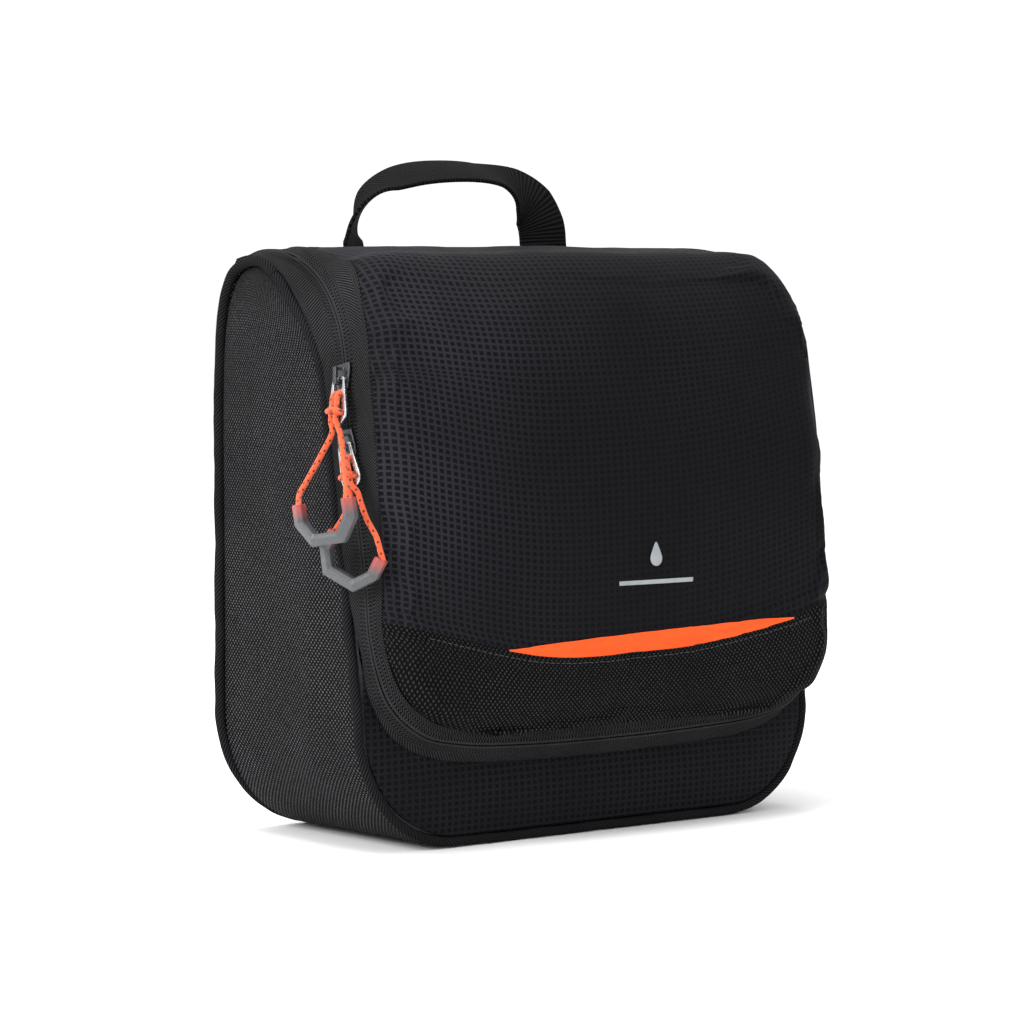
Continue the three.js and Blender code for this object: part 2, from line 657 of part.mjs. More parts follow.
function addHandle() {
  const line = spline(HANDLE_LINE);
  const surface = (u, v) => {
    const across = handleWidth(u);
    const along = line.getTangent(u);
    across.addScaledVector(along, -across.dot(along)).normalize();
    return line.getPoint(u).addScaledVector(across, (v - 0.5) * WEBBING);
  };
  add('carry_handle', sheet(surface, 28, 2, -WEBBING_T / 2, WEBBING_T / 2), 'webbing');
  const end = (name, left, right) => {
    const root = block([left, BACK_Y + GAP, 236.2], [right, BACK_Y + 2, 239.4]);
    add(name, root, 'webbing');
  };
  end('handle_end_left', -58.5, -42);
  end('handle_end_right', 54.5 - WEBBING / 2, 54.5 + WEBBING / 2);
}

// ---------------------------------------------------------------- inside

function addInside() {
  const y = BACK_Y - 13.5;
  const surface = (u, v) => new THREE.Vector3(
    mix(-104, 104, u), y + 4 * (1 - Math.sin(Math.PI * u) ** 0.3), mix(8, 128, v));
  const outline = (u, v) => {
    const point = surface(u, v);
    const lift = THREE.MathUtils.smoothstep(Math.abs(point.x), 60, 104);
    point.z = mix(8 + 30 * lift, 128, v);
    return point;
  };
  add('divider_pocket', sheet(outline, 16, 4, -0.8, 0), 'mesh');
  const rim = [];
  for (let i = 0; i <= 10; i += 1) {
    const point = outline(i / 10, 1);
    rim.push([point.x, point.y - 0.4, point.z + 1.9]);
  }
  add('divider_elastic', tube(rim, 1.4, 22), 'piping');
}

// ---------------------------------------------------------------- sliders and pulls

const PLATE_LOW = 1.2;            // slider plate above the tape's middle plane
const PLATE_HIGH = 2.2;

function taperedPlate(low, high) {
  const shape = new THREE.Shape();
  shape.moveTo(-3.2, -5.2);
  shape.lineTo(3.2, -5.2);
  shape.lineTo(4.6, 1);
  shape.lineTo(4.6, 5.2);
  shape.lineTo(-4.6, 5.2);
  shape.lineTo(-4.6, 1);
  return plateAcrossX(shape, low, high);
}

// A slider about its own middle, +Z along the zip and -X outward.
function sliderBody() {
  return joined([
    taperedPlate(-PLATE_HIGH, -PLATE_LOW),
    taperedPlate(2.7, 3.7),
    block([-PLATE_LOW - 0.1, -0.4, -1], [2.8, 0.4, 3.6]),
    block([-6.2, -0.9, -3.6], [-4.8, 0.9, 3.6]),
    block([-5.4, -0.9, -3.6], [-PLATE_HIGH + 0.2, 0.9, -2.4]),
    block([-5.4, -0.9, 2.4], [-PLATE_HIGH + 0.2, 0.9, 3.6]),
  ]);
}

// A pull tab about its axle, hanging along -Z.
function pullTab() {
  const shape = new THREE.Shape();
  shape.moveTo(-2.2, 0.55);
  shape.lineTo(2.2, 0.55);
  shape.quadraticCurveTo(3.6, 0.4, 3.7, -1.5);
  shape.lineTo(5.2, -13);
  shape.absarc(0, -14, 5.2, 0, -Math.PI, true);
  shape.lineTo(-3.7, -1.5);
  shape.quadraticCurveTo(-3.6, 0.4, -2.2, 0.55);
  const ring = new THREE.Path();
  ring.moveTo(-2.5, -0.7);
  ring.lineTo(-2.5, -4.6);
  ring.quadraticCurveTo(0, -6.8, 2.5, -4.6);
  ring.lineTo(2.5, -0.7);
  const window = new THREE.Path();
  window.moveTo(-1.9, -8.4);
  window.lineTo(-2.9, -14);
  window.quadraticCurveTo(0, -19.6, 2.9, -14);
  window.lineTo(1.9, -8.4);
  shape.holes.push(ring, window);
  return plateAcrossX(shape, -0.6, 0.6, 6);
}

// The knot: the doubled cord and the turn that binds it, in front of the tab.
function knot() {
  return joined([
    block([-2.6, -2.6, -4.6], [-0.2, 2.6, 6.4]),
    block([-3.2, -4, -2.2], [0, 4, 2]),
  ]);
}

// A grip: a half-hexagon of square section, open at the top, about its own middle.
function grip() {
  const outer = [[-13.4, 8.2], [-13.4, 0], [-7.2, -8.8], [7.2, -8.8], [13.4, 0], [13.4, 8.2]];
  const inner = [[8.8, 8.2], [8.8, 1.2], [5, -4.2], [-5, -4.2], [-8.8, 1.2], [-8.8, 8.2]];
  const shape = new THREE.Shape([...outer, ...inner].map(([x, y]) => new THREE.Vector2(x, y)));
  return plateAcrossX(shape, -2.7, 2.7);
}

const SLIDERS = [
  {
    name: 'upper', angle: 11.8, z: null, flip: 1,
    axle: [-3.7, -0.4, -0.6], tabOut: 15, tabTurn: -14, tabYaw: 2, knotDrop: 14.5,
    gripAt: [-139.3, -39.3, 134.8], gripTurn: [25, -9],
    left: [
      [-128.6, -29.6, 169.6], [-132.6, -27.2, 160], [-138, -25.7, 150.6], [-142.6, -26.5, 144.9],
      [-144.2, -28.3, 142.5],
    ],
    right: [
      [-127.6, -33, 169.6], [-128.6, -36.1, 163.2], [-131.3, -41, 155.7], [-134, -45.8, 149.2],
      [-135.4, -47.5, 146.1],
    ],
  },
  {
    name: 'lower', angle: null, z: 165, flip: -1,
    axle: [-3.7, -0.4, -0.9], tabOut: 10, tabTurn: -26, tabYaw: 6, knotDrop: 14.5,
    gripAt: [-129.5, -41, 118.3], gripTurn: [32, 28],
    left: [
      [-126.6, -38.2, 146.2], [-128.6, -40.2, 141.6], [-130.9, -39.8, 136.5], [-132.1, -37, 132.1],
    ],
    right: [
      [-125.3, -41.4, 146.2], [-125, -43.4, 141.6], [-124.2, -46.4, 135.2], [-123.4, -51, 129],
      [-122.3, -52.7, 122.4],
    ],
  },
];

function sliderPlace(item) {
  if (item.z === null) return { at: onZipArc(item.angle), lean: item.angle };
  return { at: onRun(item.z), lean: RUN_ANGLE };
}

function addSlider(item) {
  const { at, lean } = sliderPlace(item);
  const slider = new THREE.Group();
  slider.position.set(...at);
  slider.rotation.set(-radians(lean), item.z === null ? ARC_LEAN : 0, 0, 'YXZ');
  bag.add(slider);
  const body = sliderBody();
  if (item.flip < 0) body.rotateX(Math.PI);
  add(`${item.name}_slider`, body, 'gunmetal', slider);

  const tab = new THREE.Group();
  tab.position.set(...at.map((value, k) => value + item.axle[k]));
  tab.rotation.set(radians(item.tabTurn), radians(item.tabOut), radians(item.tabYaw), 'ZYX');
  bag.add(tab);
  add(`${item.name}_pull_tab`, pullTab(), 'nickel', tab);
  const hitch = knot().translate(-0.9, 0, -item.knotDrop);
  add(`${item.name}_cord_knot`, hitch, 'cord', tab);

  const held = new THREE.Group();
  held.position.set(...item.gripAt);
  held.rotation.set(radians(item.gripTurn[1]), 0, radians(item.gripTurn[0]), 'ZYX');
  bag.add(held);
  add(`${item.name}_grip`, grip(), 'grip', held);
  add(`${item.name}_cord_left`, tube(item.left, CORD_R, 8, 8), 'cord');
  add(`${item.name}_cord_right`, tube(item.right, CORD_R, 8, 8), 'cord');
}

// ---------------------------------------------------------------- the bag

addGussets();
addBottom();
addBack();
addLowerFront();
addPiping();
addZip();
addFlap();
addFlapTrim();
addHook();
addHandle();
addInside();
SLIDERS.forEach(addSlider);

export default bag;
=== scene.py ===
"""Looks for the hanging toiletry bag: fabric, seams, zip, cord pulls and light on the CAD frame."""

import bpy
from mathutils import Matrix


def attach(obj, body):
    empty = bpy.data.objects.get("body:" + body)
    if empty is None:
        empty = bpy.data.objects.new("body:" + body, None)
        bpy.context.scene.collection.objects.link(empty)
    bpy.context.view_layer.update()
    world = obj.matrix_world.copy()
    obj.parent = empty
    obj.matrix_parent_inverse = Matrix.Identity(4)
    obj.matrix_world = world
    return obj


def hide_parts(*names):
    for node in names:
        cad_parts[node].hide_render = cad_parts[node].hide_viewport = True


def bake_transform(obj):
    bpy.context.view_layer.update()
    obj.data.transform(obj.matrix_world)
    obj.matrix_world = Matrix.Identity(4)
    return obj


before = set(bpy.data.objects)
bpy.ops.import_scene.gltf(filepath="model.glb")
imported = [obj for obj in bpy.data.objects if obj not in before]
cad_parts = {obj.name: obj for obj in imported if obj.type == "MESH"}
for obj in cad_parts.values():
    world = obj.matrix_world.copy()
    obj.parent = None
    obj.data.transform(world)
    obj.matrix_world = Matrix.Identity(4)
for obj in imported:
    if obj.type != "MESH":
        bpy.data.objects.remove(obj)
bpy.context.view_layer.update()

import math

import bmesh
import bpy
import numpy as np
from mathutils import Vector

MM = 0.001

# ---------------------------------------------------------------- curves


class Curve:
    """A centripetal Catmull-Rom curve through points in millimetres."""

    def __init__(self, points):
        self.points = np.array(points, float)

    def at(self, t):
        """Points at t in 0..1, each segment taking an equal share of t."""
        points = self.points
        last = len(points) - 1
        x = np.clip(np.asarray(t, float), 0, 1) * last
        i = np.minimum(x.astype(int), last - 1)
        w = (x - i)[..., None]
        padded = np.vstack([2 * points[0] - points[1], points, 2 * points[-1] - points[-2]])
        p0, p1, p2, p3 = (padded[i + k] for k in range(4))
        gap = lambda a, b: np.maximum(np.linalg.norm(b - a, axis=-1, keepdims=True), 1e-6) ** 0.5
        d0, d1, d2 = gap(p0, p1), gap(p1, p2), gap(p2, p3)
        start = ((p1 - p0) / d0 - (p2 - p0) / (d0 + d1) + (p2 - p1) / d1) * d1
        end = ((p2 - p1) / d1 - (p3 - p1) / (d1 + d2) + (p3 - p2) / d2) * d1
        w2, w3 = w * w, w * w * w
        return (p1 * (2 * w3 - 3 * w2 + 1) + start * (w3 - 2 * w2 + w)
                + p2 * (3 * w2 - 2 * w3) + end * (w3 - w2))

    def even(self, count):
        """Points at equal steps of length."""
        return resample(self.at(np.linspace(0, 1, 1200)), count)


def lengths(points):
    """The distance along a line of points, at each point."""
    steps = np.linalg.norm(np.diff(points, axis=0), axis=1)
    return np.concatenate([[0], np.cumsum(steps)])


def resample(points, count):
    run = lengths(points)
    want = np.linspace(0, 1, count) * run[-1]
    return np.stack([np.interp(want, run, points[:, k]) for k in range(3)], axis=1)


def unit(v):
    return v / np.maximum(np.linalg.norm(v, axis=-1, keepdims=True), 1e-9)


def smoothstep(x, low, high):
    t = np.clip((x - low) / (high - low), 0, 1)
    return t * t * (3 - 2 * t)


def mirrored(points):
    return [[-x, y, z] for x, y, z in points]


# ---------------------------------------------------------------- seam lines, as in the CAD

ARC_X, ARC_Y, ARC_Z, ARC_R = -120.1, 37, 177.8, 63
ARC_LEAN = math.radians(9.1)
RUN_ANGLE = 9.8
TAPE_BODY, TAPE_FLAP = 11, 15
ZIP_X = 119


def on_arc(radius, degrees, x):
    a = math.radians(degrees)
    return [x, ARC_Y - radius * math.cos(a), ARC_Z + radius * math.sin(a)]


def on_zip_arc(degrees):
    rise = ARC_R * math.sin(math.radians(degrees))
    y = ARC_Y - ARC_R * math.cos(math.radians(degrees))
    return [ARC_X + rise * math.sin(ARC_LEAN), y, ARC_Z + rise * math.cos(ARC_LEAN)]


RUN_START = on_arc(ARC_R, RUN_ANGLE, -ZIP_X)


def on_run(z):
    return [-ZIP_X, RUN_START[1] - math.tan(math.radians(RUN_ANGLE)) * (RUN_START[2] - z), z]


ZIP_LEFT = [
    [-109.8, 52, 238.6], *(on_zip_arc(a) for a in (90, 75, 61, 47, 33, 20, RUN_ANGLE)),
    *(on_run(z) for z in (157, 132, 107)),
    [-118.2, -41.6, 84], [-110.5, -42.6, 61.5], [-94.5, -43, 48], [-74, -43, 43],
    [-45, -43.5, 40.8], [0, -43.5, 40],
]
BODY_SEAM_LEFT = [
    [-117.5, 52, 236.5], [-118, 40, 238.5], [-118.5, 28, 237], [-119, 17, 231.5],
    [-119.5, 8.5, 224], *(on_arc(ARC_R - TAPE_BODY, a, -120) for a in (40, 22, 8)),
    [-120, -19.5, 157], [-120, -23.5, 132], [-120, -28.5, 107], [-118.4, -34.4, 84],
    [-113, -35.5, 60], [-99, -36, 44], [-77, -36, 36.5], [-45, -36, 34], [0, -36, 33],
]
FLAP_SEAM_LEFT = [
    [-99, 53, 239.5], [-99.5, 38, 241.5], [-101, 20, 241.3], [-103, 0, 237.5],
    on_arc(ARC_R + TAPE_FLAP, 47, -107.5), on_arc(ARC_R + TAPE_FLAP, 33, -112.5),
    on_arc(ARC_R + TAPE_FLAP, 20, -115.5), on_arc(ARC_R + TAPE_FLAP, 8, -117.2),
    [-117.8, -44.5, 160], [-118, -47, 134], [-118, -48.5, 109], [-117.5, -48.5, 88],
    [-108, -48, 66], [-91, -47, 53.5], [-71, -46, 49.5], [-45, -46, 48.5], [0, -46, 48],
]
ZIP_RIGHT = mirrored(ZIP_LEFT)[:11] + [
    [118.8, -41.6, 79], [115, -42.6, 57.5], [104, -43, 47.5], [86, -43, 43],
    [50, -43.5, 40.8], [0, -43.5, 40],
]
BODY_SEAM_RIGHT = mirrored(BODY_SEAM_LEFT)[:11] + [
    [118.6, -34.4, 79], [116, -35.5, 57], [106, -36, 43], [87, -36, 36.5],
    [50, -36, 34], [0, -36, 33],
]
FLAP_SEAM_RIGHT = [
    [104, 53, 239.5], [104.5, 38, 241.5], [106.5, 21, 241.5], [109, -1, 239],
    on_arc(ARC_R + TAPE_FLAP + 1, 47, 112), on_arc(ARC_R + TAPE_FLAP + 2, 33, 115.5),
    on_arc(ARC_R + TAPE_FLAP + 1, 20, 118), on_arc(ARC_R + TAPE_FLAP, 8, 118.5),
    [118.5, -45, 160], [118.5, -47.5, 134], [118.5, -48.5, 109], [118.5, -48.5, 82],
    [115, -48, 62], [104, -47, 53], [86, -46, 49.5], [50, -46, 48.5], [0, -46, 48],
]
LAST = len(ZIP_LEFT) - 1


def around(left, right):
    """A line round the whole zip, from the left hinge end to the right one, as t goes 0 to 1."""
    return Curve(left + right[:LAST][::-1]).at


zip_line = around(ZIP_LEFT, ZIP_RIGHT)
body_seam = around(BODY_SEAM_LEFT, BODY_SEAM_RIGHT)
flap_seam = around(FLAP_SEAM_LEFT, FLAP_SEAM_RIGHT)

# ---------------------------------------------------------------- camera

CAMERA_AT = (-1065.25, -1294.1, 237.83)
CAMERA_AZIMUTH = 39.1
CAMERA_PITCH = 3.64
LENS = 140.6


def add_camera():
    data = bpy.data.cameras.new("camera")
    data.lens = LENS
    data.sensor_width = 36
    data.clip_end = 90
    camera = bpy.data.objects.new("camera", data)
    camera.location = [v * MM for v in CAMERA_AT]
    camera.rotation_euler = (math.radians(90 - CAMERA_PITCH), 0, -math.radians(CAMERA_AZIMUTH))
    bpy.context.scene.collection.objects.link(camera)
    bpy.context.scene.camera = camera


add_camera()

# ---------------------------------------------------------------- meshes


def new_mesh(name, vertices, faces, uv=None, smooth=True):
    """A mesh object from millimetre vertices; uv holds one pair per vertex, in metres."""
    mesh = bpy.data.meshes.new(name)
    mesh.from_pydata((np.asarray(vertices) * MM).tolist(), [], [list(f) for f in faces])
    if uv is not None:
        layer = mesh.uv_layers.new(name="UVMap")
        corner = np.zeros(len(mesh.loops), dtype=np.int32)
        mesh.loops.foreach_get("vertex_index", corner)
        layer.data.foreach_set("uv", np.asarray(uv, np.float32)[corner].ravel())
    mesh.polygons.foreach_set("use_smooth", [smooth] * len(mesh.polygons))
    mesh.update()
    piece = bpy.data.objects.new(name, mesh)
    bpy.context.scene.collection.objects.link(piece)
    return piece


def grid_faces(rows, columns, flip=False):
    """Quads of a grid of rows x columns points."""
    i = np.arange(rows - 1)[:, None]
    j = np.arange(columns - 1)[None, :]
    k = j + 1
    quads = np.stack(np.broadcast_arrays(
        i * columns + j, i * columns + k, (i + 1) * columns + k, (i + 1) * columns + j), axis=-1)
    quads = quads.reshape(-1, 4)
    return quads[:, ::-1] if flip else quads


def grid_normals(grid):
    du = np.gradient(grid, axis=1)
    dv = np.gradient(grid, axis=0)
    return unit(np.cross(du, dv))


def grid_uv(grid):
    """Distances along the rows and columns of a grid in mm, from its middle."""
    rows, columns = grid.shape[:2]
    across = np.array([lengths(grid[i]) for i in range(rows)])
    across = across - across[:, columns // 2][:, None]
    down = lengths(grid[:, columns // 2])
    return np.stack([across, np.broadcast_to(down[:, None], across.shape)], axis=-1)


def cloth(name, grid, material, body, thickness=1.0, uv=None, flip=False):
    """A closed sheet of fabric whose outer face is the grid, with its thickness behind it."""
    rows, columns = grid.shape[:2]
    normals = grid_normals(grid) * (-1 if flip else 1)
    back = grid - normals * thickness
    vertices = np.concatenate([grid.reshape(-1, 3), back.reshape(-1, 3)])
    uv = grid_uv(grid) if uv is None else uv
    uv = np.concatenate([uv.reshape(-1, 2)] * 2) * MM
    count = rows * columns
    front = grid_faces(rows, columns, flip=flip)
    behind = grid_faces(rows, columns, flip=not flip) + count
    ring = np.concatenate([
        np.arange(columns), np.arange(1, rows) * columns + columns - 1,
        np.arange(columns - 2, -1, -1) + (rows - 1) * columns,
        np.arange(rows - 2, 0, -1) * columns])
    after = np.roll(ring, -1)
    rim = np.stack([ring, ring + count, after + count, after], axis=-1)
    if flip:
        rim = rim[:, ::-1]
    piece = new_mesh(name, vertices, np.concatenate([front, behind, rim]), uv)
    piece.data.materials.append(material)
    if body:
        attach(piece, body)
    return piece


def frames(path, up=(0, 0, 1)):
    """Two directions across a path, that don't twist: (side, normal) at each point."""
    tangent = unit(np.gradient(path, axis=0))
    side = np.zeros_like(path)
    first = np.cross(tangent[0], up)
    if np.linalg.norm(first) < 0.1:
        first = np.cross(tangent[0], (0, 1, 0))
    side[0] = unit(first)
    for i in range(1, len(path)):
        moved = side[i - 1] - tangent[i] * np.dot(side[i - 1], tangent[i])
        side[i] = unit(moved)
    return side, np.cross(side, tangent)


def tube_mesh(name, path, radius, sides=12, squash=None, up=(0, 0, 1)):
    """A capped tube along a path in mm, with UVs in metres: round it, and along it."""
    side, normal = frames(path, up)
    angle = np.linspace(0, 2 * np.pi, sides + 1)
    radius = np.broadcast_to(np.asarray(radius, float), (len(path),))[:, None, None]
    ring = (np.cos(angle)[None, :, None] * side[:, None] + np.sin(angle)[None, :, None]
            * normal[:, None] * (squash or 1)) * radius
    grid = path[:, None] + ring
    run = lengths(path)
    girth = 2 * np.pi * float(radius.max())
    uv = np.stack(np.broadcast_arrays(angle[None] / (2 * np.pi) * girth, run[:, None]), axis=-1)
    columns = sides + 1
    vertices = grid.reshape(-1, 3)
    faces = [list(q) for q in grid_faces(len(path), columns, flip=True)]
    ends = [len(vertices), len(vertices) + 1]
    vertices = np.concatenate([vertices, [path[0]], [path[-1]]])
    uvs = np.concatenate([uv.reshape(-1, 2), [[0, 0], [0, run[-1]]]]) * MM
    for j in range(sides):
        faces.append([ends[0], j, j + 1][::-1])
        low = (len(path) - 1) * columns
        faces.append([ends[1], low + j + 1, low + j][::-1])
    piece = new_mesh(name, vertices, faces, uvs)
    weld(piece)
    return piece


def weld(piece):
    """Joins points that coincide, and turns every face outward."""
    work = bmesh.new()
    work.from_mesh(piece.data)
    bmesh.ops.remove_doubles(work, verts=work.verts, dist=1e-6)
    bmesh.ops.recalc_face_normals(work, faces=work.faces)
    work.to_mesh(piece.data)
    work.free()


WAVES = 14


def ripple(points, size, seed):
    """Smooth seeded noise in -1..1 at points in mm, with features about size mm across."""
    rng = np.random.default_rng(seed)
    directions = unit(rng.normal(size=(WAVES, 3)))
    rates = rng.uniform(0.6, 1.5, WAVES) * 2 * np.pi / size
    phases = rng.uniform(0, 2 * np.pi, WAVES)
    total = np.zeros(points.shape[:-1])
    for direction, rate, phase in zip(directions, rates, phases):
        total += np.sin(points @ direction * rate + phase)
    return total / math.sqrt(WAVES / 2) / 2


# ---------------------------------------------------------------- materials


class Nodes:
    """A short way to write a material's node tree."""

    def __init__(self, name):
        self.material = bpy.data.materials.new(name)
        self.material.use_nodes = True
        self.tree = self.material.node_tree
        self.shader = self.tree.nodes["Principled BSDF"]
        uv = self.tree.nodes.new("ShaderNodeUVMap")
        uv.uv_map = "UVMap"
        split = self.tree.nodes.new("ShaderNodeSeparateXYZ")
        self.tree.links.new(uv.outputs[0], split.inputs[0])
        self.u, self.v = split.outputs[0], split.outputs[1]
        self.uv = uv.outputs[0]

    def set(self, socket, value):
        if isinstance(value, bpy.types.NodeSocket):
            self.tree.links.new(value, socket)
        else:
            socket.default_value = value

    def math(self, operation, *values):
        node = self.tree.nodes.new("ShaderNodeMath")
        node.operation = operation
        for i, value in enumerate(values):
            self.set(node.inputs[i], value)
        return node.outputs[0]

    def wave(self, along, period, phase=0.0):
        """sin of a distance with a period, both in metres."""
        scaled = self.math("MULTIPLY", along, 2 * math.pi / period)
        return self.math("SINE", self.math("ADD", scaled, phase))

    def add(self, a, b):
        return self.math("ADD", a, b)

    def times(self, a, b):
        return self.math("MULTIPLY", a, b)

    def ramp(self, value, low, high, out_low=0.0, out_high=1.0):
        node = self.tree.nodes.new("ShaderNodeMapRange")
        node.interpolation_type = "SMOOTHSTEP"
        for i, item in enumerate((value, low, high, out_low, out_high)):
            self.set(node.inputs[i], item)
        return node.outputs[0]

    def noise(self, scale, detail=2.0):
        coordinates = self.tree.nodes.new("ShaderNodeTexCoord").outputs["Object"]
        node = self.tree.nodes.new("ShaderNodeTexNoise")
        self.tree.links.new(coordinates, node.inputs["Vector"])
        node.inputs["Scale"].default_value = scale
        node.inputs["Detail"].default_value = detail
        return node.outputs[0]

    def mix(self, factor, a, b):
        node = self.tree.nodes.new("ShaderNodeMix")
        node.data_type = "RGBA"
        self.set(node.inputs[0], factor)
        self.set(node.inputs[6], (*a, 1) if isinstance(a, tuple) else a)
        self.set(node.inputs[7], (*b, 1) if isinstance(b, tuple) else b)
        return node.outputs[2]

    def bump(self, height, depth, below=None):
        node = self.tree.nodes.new("ShaderNodeBump")
        node.inputs["Distance"].default_value = depth
        self.tree.links.new(height, node.inputs["Height"])
        if below is not None:
            self.tree.links.new(below, node.inputs["Normal"])
        return node.outputs[0]

    def finish(self, colour, roughness, normal=None, **constants):
        self.set(self.shader.inputs["Base Color"],
                 (*colour, 1) if isinstance(colour, tuple) else colour)
        self.set(self.shader.inputs["Roughness"], roughness)
        if normal is not None:
            self.tree.links.new(normal, self.shader.inputs["Normal"])
        for socket, value in constants.items():
            self.shader.inputs[socket.replace("_", " ")].default_value = value
        return self.material


def fabric(name, dark, light, height_of, depth, roughness, sheen=0.0, crisp=(0.1, 0.95),
           mask=None):
    """A fabric whose threads come from height_of(nodes), with uneven dye and fine fuzz.

    crisp is the range of heights over which dark turns to light, and mask(nodes) fades it."""
    n = Nodes(name)
    height = height_of(n)
    blotch = n.noise(28.0, 3.0)
    fuzz = n.noise(2600.0, 2.0)
    lit = n.ramp(height, *crisp)
    if mask:
        lit = n.times(lit, mask(n))
    lit = n.add(n.times(lit, n.ramp(blotch, 0.3, 0.7, 0.7, 1.0)), n.times(fuzz, 0.08))
    colour = n.mix(lit, dark, light)
    rough = n.add(n.times(fuzz, 0.12), n.ramp(blotch, 0.3, 0.7, roughness - 0.06, roughness))
    fine = n.bump(fuzz, 0.00004)
    return n.finish(colour, rough, n.bump(height, depth, fine), Sheen_Weight=sheen,
                    Specular_IOR_Level=0.05)


def checker_weave(period):
    """A plain weave: threads that pass over and under in turn."""
    def height(n):
        product = n.times(n.wave(n.u, period), n.wave(n.v, period, 0.5 * math.pi))
        wobble = n.ramp(n.noise(1400.0, 1.0), 0.3, 0.7, -0.12, 0.12)
        return n.add(n.add(n.times(product, 0.5), 0.5), wobble)
    return height


def ripstop_weave(n):
    """A fine diagonal weave with raised lines that make small, nearly square cells."""
    fine = n.times(n.add(n.wave(n.add(n.u, n.v), 0.0011), 1.0), 0.16)
    upright = n.ramp(n.wave(n.u, 0.0034), -0.1, 0.75)
    level = n.ramp(n.wave(n.v, 0.0027), -0.1, 0.75)
    lines = n.math("MAXIMUM", n.times(upright, 0.66), n.times(level, 0.66))
    return n.add(lines, fine)


def lit_corner(n):
    """Threads that shine most towards the flap's left and top, and fade in soft patches."""
    left = n.ramp(n.u, -0.13, 0.02, 1.0, 0.3)
    patch = n.ramp(n.noise(9.0, 1.0), 0.35, 0.65, 0.55, 1.0)
    return n.times(left, patch)


def twill_weave(pitch=0.0012, chevron=0.008):
    """Diagonal ribs that turn back at each chevron, as on a herringbone tape."""
    def height(n):
        fold = n.math("PINGPONG", n.u, chevron)
        rib = n.wave(n.add(fold, n.times(n.v, 0.9)), pitch)
        thread = n.times(n.wave(n.u, 0.0007), n.wave(n.v, 0.0007))
        return n.add(n.add(n.times(rib, 0.36), 0.5), n.times(thread, 0.14))
    return height


def zip_tape_weave(n):
    """Herringbone tape, with two rows of coil stitches beside the slit, where u is nearly 0."""
    base = twill_weave(0.0012, 0.0065)(n)
    distance = n.math("ABSOLUTE", n.u)
    rows = None
    for at in (0.0021, 0.0044):
        near = n.ramp(n.math("ABSOLUTE", n.math("SUBTRACT", distance, at)), 0.0003, 0.0007, 1, 0)
        rows = near if rows is None else n.math("MAXIMUM", rows, near)
    dots = n.ramp(n.wave(n.v, 0.0016), -0.3, 0.6)
    stitched = n.times(rows, dots)
    channel = n.times(rows, -0.45)
    lip = n.ramp(distance, 0.0008, 0.0016, 0.5, 0)
    return n.add(n.add(n.add(base, channel), n.times(stitched, 0.95)), lip)


def webbing_weave(n):
    """Crosswise ribs of a strap, each a row of small herringbone threads."""
    rib = n.wave(n.v, 0.0016)
    thread = n.wave(n.add(n.u, n.times(n.v, 0.5)), 0.0012)
    return n.add(n.add(n.times(rib, 0.34), 0.5), n.times(thread, 0.16))


def mesh_weave(n):
    """The holes of an open net, staggered."""
    a = n.wave(n.add(n.u, n.v), 0.0034)
    b = n.wave(n.math("SUBTRACT", n.u, n.v), 0.0034)
    return n.add(n.times(n.add(a, b), 0.25), 0.5)


def net_material(name, colour):
    n = Nodes(name)
    height = mesh_weave(n)
    shade = n.mix(n.ramp(height, 0.2, 0.9), tuple(c * 0.5 for c in colour), colour)
    material = n.finish(shade, 0.8, n.bump(height, 0.0002), Sheen_Weight=0.2)
    n.set(n.shader.inputs["Alpha"], n.ramp(height, 0.24, 0.3))
    return material


HEAVY = fabric("heavy_weave", (0.0003, 0.0003, 0.0004), (0.085, 0.085, 0.09),
               checker_weave(0.0022), depth=0.0004, roughness=0.8, crisp=(0.55, 0.98))
# Painted shade: a darker copy of the heavy weave, for the flap's lower front, which gets less light
# than the sides.
HEAVY_SHADED = fabric("heavy_weave_painted_shade", (0.0003, 0.0003, 0.0004), (0.036, 0.036, 0.038),
                    checker_weave(0.0022), depth=0.0004, roughness=0.8, crisp=(0.55, 0.98))
RIPSTOP = fabric("ripstop", (0.0012, 0.0011, 0.0019), (0.021, 0.021, 0.026), ripstop_weave,
                 depth=0.00016, roughness=0.6, mask=lit_corner)
# Painted shade: a darker copy of the ripstop, for the body's lower front panel, which gets less
# light than the flap.
RIPSTOP_SHADED = fabric("ripstop_painted_shade", (0.0014, 0.0013, 0.0021), (0.009, 0.009, 0.0115),
                     ripstop_weave, depth=0.00012, roughness=0.6)
PIPING = fabric("piping_twill", (0.0004, 0.0004, 0.0005), (0.02, 0.02, 0.022),
                twill_weave(0.0017, 1.0), depth=0.0002, roughness=0.85)
ZIP_TAPE = fabric("zip_tape", (0.0004, 0.0004, 0.0005), (0.034, 0.034, 0.036), zip_tape_weave,
                  depth=0.0003, roughness=0.84)
WEBBING = fabric("webbing", (0.0003, 0.0003, 0.0004), (0.012, 0.012, 0.013), webbing_weave,
                 depth=0.0003, roughness=0.8)
LINING = fabric("lining", (0.16, 0.17, 0.185), (0.3, 0.315, 0.33), checker_weave(0.0009),
                depth=0.00006, roughness=0.7, sheen=0.3)
ACCENT = fabric("accent", (0.7, 0.06, 0.008), (0.93, 0.115, 0.018), checker_weave(0.0009),
                depth=0.00005, roughness=0.75, sheen=0.1)
NET = net_material("net", (0.03, 0.03, 0.034))


def metal(name, colour, roughness, grain):
    n = Nodes(name)
    scuff = n.noise(900.0, 4.0)
    worn = n.ramp(scuff, 0.45, 0.7)
    shade = n.mix(worn, tuple(c * 0.82 for c in colour), colour)
    rough = n.ramp(scuff, 0.3, 0.75, roughness - grain, roughness + grain)
    return n.finish(shade, rough, n.bump(scuff, 0.00002), Metallic=1.0)


